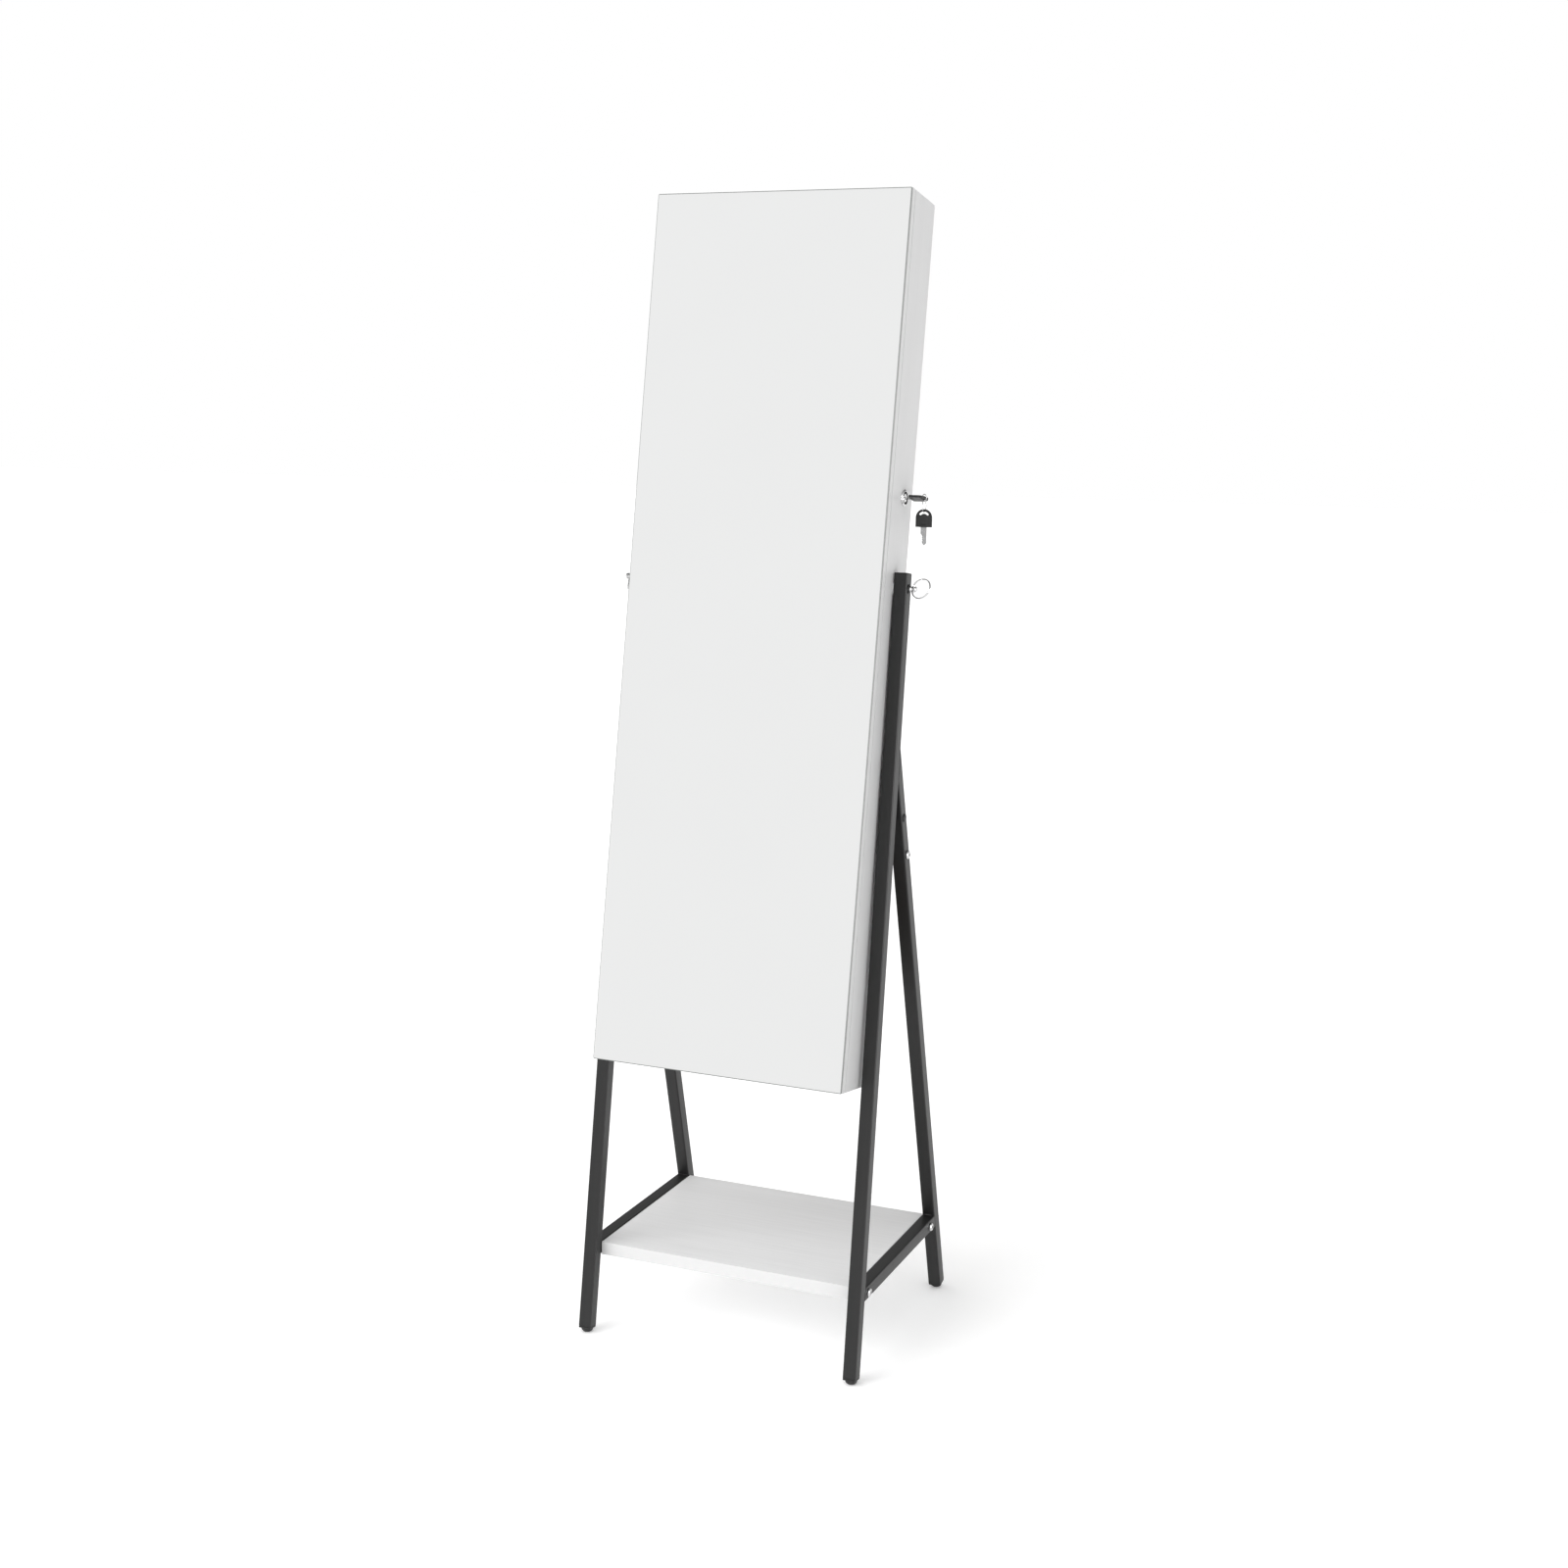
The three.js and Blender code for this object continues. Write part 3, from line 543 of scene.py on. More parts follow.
def laminate(name, grain, tone, depth=1.0):
    """White melamine foil printed and pressed with a faint wood grain that runs along one axis."""
    look = Look(name, {"IOR": 1.46})
    stretch = {"X": (0.035, 1, 1), "Y": (1, 0.035, 1), "Z": (1, 1, 0.035)}[grain]
    fibres = look.noise(220, stretch, 6, 0.62)
    bands = look.noise(26, stretch, 3)
    both = look.blend(fibres, bands, 0.6)
    dark, light = grey(tone * (1 - 0.05 * depth)), grey(tone * (1 + 0.03 * depth))
    look.tint(both, dark, light)
    look.matt(fibres, 0.38, 0.52)
    look.bump(fibres, 0.12 * depth, 0.0002)
    return look.material


def mottled(look, scale, detail, low, high, rough, relief=None):
    """Gives a look one noise, which moves its colour and its roughness and may raise its surface."""
    noise = look.noise(scale, detail=detail)
    look.tint(noise, low, high)
    look.matt(noise, *rough)
    if relief:
        look.bump(noise, *relief)
    return look.material


def mirror_silver():
    """Silvered glass: very smooth, with a polish haze too faint to see except in a raking light."""
    look = Look("mirror_silver", {"Metallic": 1.0})
    return mottled(look, 7, 6, (0.836, 0.84, 0.838), (0.842, 0.846, 0.844), (0.008, 0.02))


def glass_edge():
    look = Look("ground_glass_edge", {"IOR": 1.5})
    return mottled(look, 1200, 2, (0.13, 0.14, 0.135), (0.19, 0.2, 0.195), (0.3, 0.45), (0.15, 0.0001))


def chrome():
    look = Look("polished_chrome", {"Metallic": 1.0})
    wipe = look.noise(500, (1, 0.15, 1), 4)
    look.tint(wipe, grey(0.56), grey(0.64))
    look.matt(wipe, 0.05, 0.14)
    look.bump(look.noise(1600, detail=2), 0.03, 0.0001)
    return look.material


def zinc(name="bright_zinc", tone=0.62):
    """Bright plated steel with fine turning and rolling marks."""
    look = Look(name, {"Metallic": 1.0})
    marks = look.noise(900, (1, 0.08, 0.08), 4)
    cloud = look.noise(160, detail=4)
    look.tint(cloud, grey(tone * 0.93, 0.01), grey(tone * 1.05, -0.01))
    look.matt(marks, 0.18, 0.34)
    look.bump(marks, 0.08, 0.0001)
    return look.material


def moulded(name, low, high, rough=(0.36, 0.5)):
    """Moulded plastic with a fine spark-eroded texture."""
    look = Look(name, {"IOR": 1.45})
    cloud = look.noise(120, detail=4)
    look.tint(cloud, grey(low), grey(high))
    look.matt(cloud, *rough)
    look.bump(look.noise(2600, detail=2), 0.2, 0.0001)
    return look.material


def hardboard():
    """Brown fibreboard: matted short fibres with darker flecks."""
    look = Look("brown_hardboard")
    fibres = look.noise(420, (1, 1, 0.3), 6, 0.7)
    flecks = look.noise(60, detail=5)
    both = look.blend(fibres, flecks, 0.6)
    look.tint(both, (0.085, 0.052, 0.032), (0.17, 0.11, 0.07))
    look.matt(fibres, 0.65, 0.85)
    look.bump(fibres, 0.4, 0.0003)
    return look.material


def velvet():
    """Grey flocked velvet: soft nap in brushed patches, with a sheen at grazing angles."""
    look = Look("grey_velvet", {"Roughness": 0.9, "Sheen Weight": 0.6, "Sheen Roughness": 0.4})
    nap = look.noise(2400, detail=3)
    brushed = look.noise(22, (1, 0.5, 1), 2)
    both = look.blend(nap, brushed, 0.6)
    look.tint(both, (0.17, 0.17, 0.185), (0.22, 0.22, 0.24))
    look.bump(nap, 0.5, 0.0003)
    look.bump(brushed, 0.1, 0.0006)
    return look.material


BLACK_COAT = powder_coat()
# One white laminate in two copies. The level boards' copy is painted lighter (0.75 against 0.69): painted
# light on faces that look up.
BOARD_UP = laminate("white_laminate_upright", "Z", 0.69)
BOARD_ACROSS_PAINTED_LIGHT = laminate("white_laminate_level_painted_light", "X", 0.75, 1.3)
BAND = mottled(Look("white_edge_band", {"IOR": 1.48}), 90, 3, grey(0.64), grey(0.65), (0.44, 0.48))
SILVER = mirror_silver()
GLASS_EDGE = glass_edge()
MIRROR_BACK = mottled(Look("grey_mirror_backing"), 120, 3, grey(0.2), grey(0.25), (0.5, 0.65))
CHROME = chrome()
ZINC = zinc()
DARK_STEEL = zinc("grey_steel", 0.42)
KEY_STEEL = zinc("key_steel", 0.36)
# Near-black for the inside of the lock's dished recess: painted shade, standing in for the shade and dark
# reflections in the hollow.
RECESS_PAINTED_SHADE = moulded("lock_recess_painted_shade", 0.02, 0.035, (0.3, 0.45))
BLACK_PLASTIC = moulded("black_moulded_plastic", 0.008, 0.016)
WHITE_NYLON = moulded("white_nylon", 0.68, 0.76)
FIBRE = hardboard()
LINING = mottled(Look("white_lining"), 180, 4, grey(0.6), grey(0.64), (0.45, 0.6), (0.06, 0.0002))
VELVET = velvet()


# -------- stand

def leg_frame(lean, foot_y):
    """The frame of a leg, within its side frame: z runs up the leg from floor level."""
    return shift(0, foot_y, 0) @ turn(-lean, "X")


def leg_face(foot_y, level, down):
    """The plane of a leg's inner face in its side frame: a point, and the normal."""
    normal = Vector((0, level, -down))
    return Vector((0, foot_y, 0)) + normal * TUBE / 2, normal


def seen_from(local, point, normal):
    """A plane of the side frame, in the local frame of a tube."""
    inverse = local.inverted()
    return (inverse @ (point * MM)) / MM, inverse.to_3x3() @ normal


FRONT_FRAME = leg_frame(FRONT_LEAN, FRONT_FOOT_Y)
REAR_FRAME = leg_frame(-REAR_LEAN, REAR_FOOT_Y)
SHELF_LOW, SHELF_HIGH = (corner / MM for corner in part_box("shelf_board"))
RAIL_Z = SHELF_LOW.z + RAIL_ABOVE_SHELF + TUBE / 2
BOLT_Z = (SHELF_LOW.z + SHELF_HIGH.z) / 2
BEHIND_FRONT_LEG = leg_face(FRONT_FOOT_Y, math.cos(FRONT_LEAN), math.sin(FRONT_LEAN))
AHEAD_OF_REAR_LEG = leg_face(REAR_FOOT_Y, -math.cos(REAR_LEAN), math.sin(REAR_LEAN))


def along(lean, z):
    """Distance up a leaning leg's centre line to a height."""
    return z / math.cos(lean)


def level_cut(distance):
    """A square cut across a tube that runs along Z."""
    return Vector((0, 0, distance)), Vector((0, 0, 1))


def add_legs(side, place):
    name = SIDE_NAMES[side]
    front = square_tube(level_cut(along(FRONT_LEAN, LEG_BOTTOM)), level_cut(along(FRONT_LEAN, STAND_TOP)))
    bore = moved(rod(HARDWARE_BORE_R, -TUBE, TUBE, 0.1), shift(0, 0, along(FRONT_LEAN, PIVOT_Z)))
    top = seen_from(REAR_FRAME, *BEHIND_FRONT_LEG)
    rear = square_tube(level_cut(along(REAR_LEAN, LEG_BOTTOM)), top)
    lie = shift(0, 0, RAIL_Z) @ turn(-QUARTER, "X")
    rail = square_tube(seen_from(lie, *BEHIND_FRONT_LEG), seen_from(lie, *AHEAD_OF_REAR_LEG))
    nodes = ("front_leg", "rear_leg", "side_rail")
    for node, tube, local in zip(nodes, (carved(front, bore), rear, rail), (FRONT_FRAME, REAR_FRAME, lie)):
        here = place @ local
        piece(f"{node}_tube_{name}", tube, BLACK_COAT, "stand", here, f"{node}_{name}")


def add_weld_beads(side, place):
    """Short fillets of weld under the paint, across the tubes where they meet."""
    behind_front = TUBE / 2 / math.cos(FRONT_LEAN)
    beside_rear = TUBE / 2 / math.cos(REAR_LEAN)
    rail_levels = (RAIL_Z - TUBE / 2, RAIL_Z + TUBE / 2)
    spots = [(front_leg_y(z) + behind_front, z) for z in rail_levels]
    spots += [(rear_leg_y(z) - beside_rear, z) for z in rail_levels]
    for reach_back in (-beside_rear, beside_rear):
        spread = rear_leg_y(0) + reach_back - front_leg_y(0) - behind_front
        z = spread / (math.tan(FRONT_LEAN) + math.tan(REAR_LEAN))
        spots.append((front_leg_y(z) + behind_front, z))

    def ripple(share):
        return 1.25 + 0.22 * math.sin(share * 75)

    beads = [rope(across(TUBE / 2 - WELD_INSET, y, z, 24), ripple) for y, z in spots]
    piece(f"weld_beads_{SIDE_NAMES[side]}", merged(*beads), BLACK_COAT, "stand", place, ())


def cap_screw():
    """Button-head screw along X with a hexagon socket. Its head sits on x = 0 and its shank runs to -X."""
    head = [(0, 3.4), (3.6, 3.4), (5.3, 2.7), (6, 1.5), (6, 0.35), (5.7, 0)]
    shank = [(3, 0), (3, -38), (2.4, -40), (0, -40)]
    socket = turned(eased([(0, 1.1), (2.45, 1.5), (2.45, 6), (0, 6)], 0.01), 6)
    return carved(turned(eased(head + shank, 0.5)), socket)


def hole_plug():
    profile = [(0, 2.3), (3.2, 2.2), (5.3, 1.4), (5.9, 0.4), (5.9, 0), (3.7, 0), (3.7, -6), (0, -6)]
    return turned(eased(profile, 0.5))


def glide(lean_frame, z_from_floor):
    """Foot glide: a dome that rests level on the floor, under a square flange that closes the leg."""
    profile = [(0, 0), (4, 0.05), (6.2, 0.9), (7.9, 2.8), (8.8, 5.2), (8.9, 9), (0, 9)]
    dome = moved(turned(eased(profile, 1.0, 4)), turn(-QUARTER, "Y"))
    flange = plate([square_outline(TUBE - 0.2, TUBE_CORNER)], 2.6, 0.5)
    flange = moved(flange, lean_frame @ shift(0, 0, z_from_floor - 1.6))
    return dome, flange


def add_feet(side, place):
    name = SIDE_NAMES[side]
    for end, lean, leg in (("front", FRONT_LEAN, FRONT_FRAME), ("rear", REAR_LEAN, REAR_FRAME)):
        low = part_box(f"glide_{end}_{name}")[0] / MM
        foot = STAND @ shift(side * frame_centre_x(LEG_BOTTOM), 0, 0)
        centre_y = front_leg_y(LEG_BOTTOM) if end == "front" else rear_leg_y(LEG_BOTTOM)
        dome, flange = glide(turn(-side * SPLAY, "Y") @ leg, along(lean, LEG_BOTTOM))
        body = merged(moved(dome, shift(0, centre_y, low.z)), flange)
        node = f"glide_{end}_{name}"
        piece(f"foot_{node}", body, BLACK_PLASTIC, "stand", foot, node)


def add_leg_cap(side, place):
    name = SIDE_NAMES[side]
    up = along(FRONT_LEAN, STAND_TOP)
    lid = moved(plate([square_outline(TUBE, TUBE_CORNER)], 2, 0.7), shift(0, 0, up + 1))
    half = TUBE / 2 - TUBE_WALL - GAP
    stem = block((-half, -half, up - 9), (half, half, up + 0.5), 0.6)
    piece(f"leg_end_cap_{name}", merged(lid, stem), BLACK_PLASTIC, "stand", place @ FRONT_FRAME,
          f"leg_cap_{name}")


def add_hardware(side, place):
    name = SIDE_NAMES[side]
    screw = cap_screw()

    def outside(y, z):
        """The place on the tubes' outer face, at a depth and a height."""
        return place @ shift(side * TUBE / 2, y, z) @ facing(side)

    spots = {
        f"crossbar_bolt_{name}": (rear_leg_y(CROSSBAR_Z), CROSSBAR_Z),
        f"shelf_bolt_front_{name}": (SHELF_BOLTS_Y[0], BOLT_Z),
        f"shelf_bolt_rear_{name}": (SHELF_BOLTS_Y[1], BOLT_Z),
    }
    for node, spot in spots.items():
        piece(f"{node}_screw", screw, ZINC, "stand", outside(*spot), node)
    here = outside(rear_leg_y(HOLE_PLUG_Z), HOLE_PLUG_Z)
    piece(f"hole_plug_button_{name}", hole_plug(), BLACK_PLASTIC, "stand", here,
          f"hole_plug_{name}")
    guide = [(PIN_BORE, 1.7), (5.4, 1.7), (6.25, 1.1), (6.25, 0), (4.9, 0), (4.9, -TUBE), (PIN_BORE, -TUBE)]
    here = outside(front_leg_y(PIVOT_Z), PIVOT_Z)
    piece(f"plunger_bushing_{name}", turned(eased(guide, 0.35, closed=True)), BLACK_PLASTIC, "stand", here,
          f"plunger_guide_{name}")


def add_shelf():
    """Melamine board with a banded front edge, and the barrel nuts that its four screws draw into."""
    low, high = SHELF_LOW, SHELF_HIGH
    board = block((low.x, low.y + 0.6, low.z), (high.x, high.y, high.z), 0.35)
    piece("shelf_panel", board, BOARD_ACROSS_PAINTED_LIGHT, "stand", Matrix.Identity(4), "shelf_board")
    band = block((low.x, low.y, low.z + 0.05), (high.x, low.y + 0.62, high.z - 0.05), 0.25)
    piece("shelf_edge_band", band, BAND, "stand", Matrix.Identity(4), ())
    nuts = []
    middle = STAND.translation / MM
    slot = block((-4, -0.6, -1), (4, 0.6, 0.6), 0.05)
    nut = carved(moved(rod(4.8, 0, 1.2, 0.3), turn(-QUARTER, "Y")), slot)
    for y in SHELF_BOLTS_Y:
        for x in (low.x + 24, high.x - 24):
            nuts.append(moved(nut, shift(x, y + middle.y, low.z - 0.25)))
    piece("shelf_barrel_nuts", merged(*nuts), ZINC, "stand", Matrix.Identity(4), ())


def add_crossbar():
    half = frame_centre_x(CROSSBAR_Z) - TUBE / 2
    tube = square_tube(level_cut(-half), level_cut(half))
    lie = STAND @ shift(0, rear_leg_y(CROSSBAR_Z), CROSSBAR_Z) @ turn(REAR_LEAN, "X") @ turn(QUARTER, "Y")
    piece("rear_crossbar_tube", tube, BLACK_COAT, "stand", lie, "rear_crossbar")


def add_stand():
    for side in (RIGHT, LEFT):
        place = side_frame(side)
        add_legs(side, place)
        add_weld_beads(side, place)
        add_feet(side, place)
        add_leg_cap(side, place)
        add_hardware(side, place)
    add_shelf()
    add_crossbar()


# -------- spring plungers

KNOB_FROM = INNER_TOP + TUBE + 2
RING_HOLE_X = KNOB_FROM + RING_HOLE
PIN_END = HALF - 7
KNOB_PROFILE = (
    (4.35, 0.1), (4.35, 1.35), (3.4, 1.9), (3.4, 4.7), (4.1, 5.5), (4.25, 6.8), (3.9, 8.2), (2.6, 9.2),
)
KNOB_LENGTH = 9.4


def split_ring(radius, wire):
    """A ring of wire wound twice, one turn beside the other."""
    turns = 2
    steps = 72 * turns
    path = []
    for step in range(steps + 1):
        share = step / steps
        angle = math.tau * (turns * share * 0.985 + 0.3)
        cross = min(max((share - 0.44) / 0.12, 0), 1)
        side = wire * 0.93 * (2 * cross * cross * (3 - 2 * cross) - 1)
        path.append((radius * math.cos(angle), side, radius * math.sin(angle)))
    return rope(path, wire, sides=12)


def add_plunger(side):
    """The sprung pin that the cabinet turns on, its knob, its pull ring and the friction washer."""
    name = SIDE_NAMES[side]
    place = STAND @ shift(0, front_leg_y(PIVOT_Z), PIVOT_Z) @ facing(side)
    lean = turn(-side * RING_LEAN, "X")
    profile = [(0, PIN_END), (PIN_R - 1, PIN_END), (PIN_R, PIN_END + 1.5), (PIN_R, KNOB_FROM)]
    profile += [(radius, KNOB_FROM + x) for radius, x in KNOB_PROFILE] + [(0, KNOB_FROM + KNOB_LENGTH)]
    hole = moved(rod(1.5, -10, 10, 0.05), turn(QUARTER, "Y"))
    pin = carved(turned(eased(profile, 0.35), 48), moved(hole, shift(RING_HOLE_X, 0, 0)))
    piece(f"plunger_{name}", pin, ZINC, f"plunger_pin_{name}", place @ lean,
          f"plunger_pin_{name}")
    ring_place = place @ shift(RING_HOLE_X, 0, 0) @ lean @ turn(RING_SWING[side], "Z")
    ring = moved(split_ring(RING_R, RING_WIRE_R), shift(RING_R - RING_SAG, 0, 0))
    piece(f"split_ring_{name}", ring, CHROME, f"pull_ring_{name}", ring_place, f"pull_ring_{name}")
    near, far = HALF + 0.25, HALF + 1.25
    washer = [(PIN_BORE, near), (10, near), (10, far), (PIN_BORE, far)]
    piece(f"friction_washer_{name}", turned(eased(washer, 0.2, closed=True)), WHITE_NYLON, "stand", place,
          f"pivot_washer_{name}")


# -------- cabinet

def add_banded(pattern, low, high, look, node, holes=()):
    """A board of the case with a banded front edge, between two corners in the cabinet's frame."""
    front = low[1] + BAND_THICK
    board = block((low[0], front, low[2]), high, 0.3)
    if holes:
        board = carved(board, *holes)
    piece(pattern.format("board"), board, look, "cabinet", CABINET, node)
    band = block(low, (high[0], front + 0.02, high[2]), 0.2)
    piece(pattern.format("band"), band, BAND, "cabinet", CABINET, ())


def add_case():
    """Side, top and bottom panels with banded front edges, and the bushes that the pins turn in."""
    for side in (RIGHT, LEFT):
        name = SIDE_NAMES[side]
        inner, outer = sorted((side * INSIDE, side * HALF))
        holes = [rod(5.3, -HALF - 9, HALF + 9, 0.05)]
        if side == RIGHT:
            holes.append(moved(rod(8.6, INSIDE - 5, HALF + 5, 0.05), shift(0, LOCK_Y, LOCK_Z)))
        low, high = (inner, BOX_FRONT, BOTTOM), (outer, BOX_REAR, TOP)
        add_banded("side_{}_" + name, low, high, BOARD_UP, f"side_panel_{name}", holes)
        bush = [(PIN_BORE, HALF), (5, HALF), (5, INSIDE - GAP), (11, INSIDE - GAP), (11, INSIDE - 2)]
        bush.append((PIN_BORE, INSIDE - 2.3))
        piece(f"pivot_sleeve_{name}", turned(eased(bush, 0.3, closed=True)), ZINC, "cabinet",
              CABINET @ facing(side), f"pivot_bush_{name}")
    for node, z in (("top_panel", TOP - BOARD), ("bottom_panel", BOTTOM)):
        low, high = (-INSIDE, BOX_FRONT, z), (INSIDE, BOX_REAR, z + BOARD)
        add_banded(node + "_{}", low, high, BOARD_ACROSS_PAINTED_LIGHT, node)


def add_back():
    """Fibreboard back, pinned to the case along its edges."""
    back = block((-HALF + 1, REAR - BACK_THICK, BOTTOM + 1), (HALF - 1, REAR - 0.2, TOP - 1), 0.4)
    piece("back_sheet", back, [FIBRE, LINING], "cabinet", CABINET, "back_panel",
          choose=lambda centre, normal: int(normal.y < 0.9))
    head = moved(turned([(0, 0.35), (1.1, 0.25), (1.5, 0), (0, -0.5)], 20), turn(QUARTER, "Z"))
    pins = []
    end = 40
    for row in range(BACK_PIN_ROWS):
        z = BOTTOM + end + row * (CAB_HEIGHT - 2 * end) / (BACK_PIN_ROWS - 1)
        pins += [(side * (HALF - BACK_PIN_INSET), z) for side in (RIGHT, LEFT)]
    for column in range(BACK_PIN_COLUMNS):
        x = (column + 0.5) * CAB_WIDTH / BACK_PIN_COLUMNS - HALF
        pins += [(x, TOP - BACK_PIN_INSET), (x, BOTTOM + BACK_PIN_INSET)]
    heads = [moved(head, shift(x, REAR - 0.2, z)) for x, z in pins]
    piece("back_panel_pins", merged(*heads), DARK_STEEL, "cabinet", CABINET, ())


INNER_SHELF_FRONT = BOX_FRONT + INNER_SHELF_INSET


def add_inner_shelves():
    for name, level in SHELF_LEVELS.items():
        z = BOTTOM + level
        low, high = (-INSIDE, INNER_SHELF_FRONT, z), (INSIDE, BOX_REAR, z + INNER_SHELF_THICK)
        add_banded("inner_{}_" + name, low, high, BOARD_ACROSS_PAINTED_LIGHT, f"inner_shelf_{name}")


def add_necklace_rail():
    """A white rail with nine turned pegs that lean up, each with a small ball end."""
    z = TOP - PEG_RAIL_FROM_TOP
    bar = block((-INSIDE, BOX_REAR - 13, z), (INSIDE, BOX_REAR, z + 24), 1.2, 3)
    stem = [(0, -10.5), (2.5, -10.5), (2.2, -2), (2.0, 7)]
    ball = [(2.6, 8), (3.0, 9.4), (2.6, 10.8), (1.4, 11.7), (0, 12)]
    peg = moved(turned(eased(stem + ball, 0.6), 24), turn(math.radians(20), "X") @ turn(-QUARTER, "Z"))
    places = [(index - (PEGS - 1) / 2) * PEG_PITCH for index in range(PEGS)]
    rail = merged(bar, *[moved(peg, shift(x, BOX_REAR - 17, z + 13)) for x in places])
    piece("necklace_peg_rail", rail, WHITE_NYLON, "cabinet", CABINET, "necklace_rail")


def add_velvet():
    """The ring cushion, which is a tray of soft rolls, and the ribbed panel for earrings."""
    low = BOTTOM + SHELF_LEVELS["upper"] + INNER_SHELF_THICK + GAP
    front, rear = INNER_SHELF_FRONT + 2, BOX_REAR - 2
    half = INSIDE - 4
    pitch = (rear - front) / CUSHION_ROLLS
    radius = pitch / 2

    def swell(share):
        """The radius along a roll: gently uneven, and drawn in at its ends."""
        return radius * (0.97 + 0.025 * math.cos(share * 40)) * min(1, 0.8 + 6 * min(share, 1 - share))

    shape = block((-half, front, low), (half, rear, low + 9), 1.0)
    for row in range(CUSHION_ROLLS):
        path = across(half * 0.985, front + pitch * (row + 0.5), low + 22 - radius * 1.25, 60)
        shape = merged(shape, rope(path, swell, sides=20))
    cushion = piece("ring_cushion_rolls", shape, VELVET, "cabinet", CABINET, "ring_cushion")
    foot = BOTTOM + EARRING_LEVEL
    width = INSIDE - 14
    pad = block((-width, BOX_REAR - 5, foot), (width, BOX_REAR - GAP, foot + EARRING_HEIGHT), 1.6, 3)
    ribs = []
    for row in range(EARRING_RIBS):
        z = foot + 20 + row * EARRING_HEIGHT / EARRING_RIBS
        ribs.append(block((-width + 8, BOX_REAR - 10, z), (width - 8, BOX_REAR - 4, z + 5), 1.8, 3))
    panel = piece("earring_pad", merged(pad, *ribs), VELVET, "cabinet", CABINET, "earring_panel")


def screw_head(radius=2.6):
    """Countersunk screw head along +X with a cross recess. Its face is at x = 0."""
    head = turned(eased([(0, 0), (radius, 0), (radius * 0.55, -1.6), (0, -1.8)], 0.15), 24)
    arm, half = radius * 0.62, 0.35
    cross = [block((-0.55, -y, -z), (1, y, z), 0.03) for y, z in ((arm, half), (half, arm))]
    return carved(head, *cross)


def add_catch():
    """Magnetic catch: a white body with two steel poles, and the plate on the door that it holds."""
    x = INSIDE - 30
    low, high = TOP - 19 - BOARD, TOP - BOARD - GAP
    body = block((x - 20, BOX_FRONT + 1.2, low), (x + 20, BOX_FRONT + 14, high), 1.2, 3)
    piece("magnet_catch_body", body, WHITE_NYLON, "cabinet", CABINET, "magnet_catch")
    poles = [
        block((x - 13, BOX_FRONT + 0.2, low + 4 + step), (x + 13, BOX_FRONT + 8, low + 5.6 + step), 0.2)
        for step in (0, 6.5)
    ]
    piece("magnet_catch_poles", merged(*poles), DARK_STEEL, "cabinet", CABINET, ())
    keeper = moved(rod(7, 0, 0.7, 0.25, 40), turn(QUARTER, "Z"))
    middle = (low + high) / 2
    piece("magnet_catch_keeper", moved(keeper, shift(x, DOOR_BACK - 0.1, middle)), ZINC, "door", CABINET,
          ())


# -------- hinges

HINGE_LEVELS = {"lower": BOTTOM + HINGE_FROM_END, "upper": TOP - HINGE_FROM_END}
HINGE_X = -HALF - 2.9
HINGE_Y = DOOR_BACK + SEAM / 2
KNUCKLE_R = 2.5
HINGE_HALF = 30
MIDDLE_HALF = 11
LEAF_OUT = -HALF - 1.5


def leaf(y_from, y_to, half, level):
    """A hinge leaf flat on the side, with rounded corners."""
    outline = eased([(y_from, -half), (y_to, -half), (y_to, half), (y_from, half)], 2.2, 4, closed=True)
    flat = plate([outline], 1.2, 0.25)
    upright = Matrix(((0, 0, 1, 0), (1, 0, 0, 0), (0, 1, 0, 0), (0, 0, 0, 1)))
    return moved(flat, shift(LEAF_OUT + 0.6, 0, level) @ upright)


def knuckle(low, high):
    profile = [(1.3, low), (KNUCKLE_R, low), (KNUCKLE_R, high), (1.3, high)]
    return moved(turned(eased(profile, 0.35, closed=True), 32), turn(-QUARTER, "Y"))


def leaf_screws(radius, y, level, reach):
    """Two screws in a hinge leaf, above and below its middle."""
    head = moved(screw_head(radius), turn(math.pi, "Z"))
    return merged(*[moved(head, shift(LEAF_OUT - 0.05, y, level + step)) for step in (-reach, reach)])


def add_hinges():
    for name, level in HINGE_LEVELS.items():
        axis = shift(HINGE_X, HINGE_Y, level)
        ends = [knuckle(MIDDLE_HALF + GAP, HINGE_HALF), knuckle(-HINGE_HALF, -MIDDLE_HALF - GAP)]
        body = merged(leaf(HINGE_Y + 2.0, HINGE_Y + 15, HINGE_HALF, level), moved(merged(*ends), axis))
        piece(f"hinge_case_leaf_{name}", body, ZINC, "cabinet", CABINET,
              f"hinge_cabinet_leaf_{name}")
        screws = leaf_screws(2.3, HINGE_Y + 9, level, 20)
        piece(f"hinge_screws_{name}", screws, DARK_STEEL, "cabinet", CABINET, ())
        pin = moved(rod(1.2, -HINGE_HALF - 0.6, HINGE_HALF + 0.6, 0.5), turn(-QUARTER, "Y"))
        middle = merged(knuckle(-MIDDLE_HALF + GAP, MIDDLE_HALF - GAP), pin)
        body = merged(leaf(DOOR_FRONT + 1, HINGE_Y - 0.4, MIDDLE_HALF - 0.4, level), moved(middle, axis))
        piece(f"hinge_door_plate_{name}", body, ZINC, "door", CABINET,
              f"hinge_door_leaf_{name}")
        screws = leaf_screws(1.9, DOOR_FRONT + 5, level, 6)
        piece(f"hinge_door_screws_{name}", screws, DARK_STEEL, "door", CABINET, ())


# -------- door

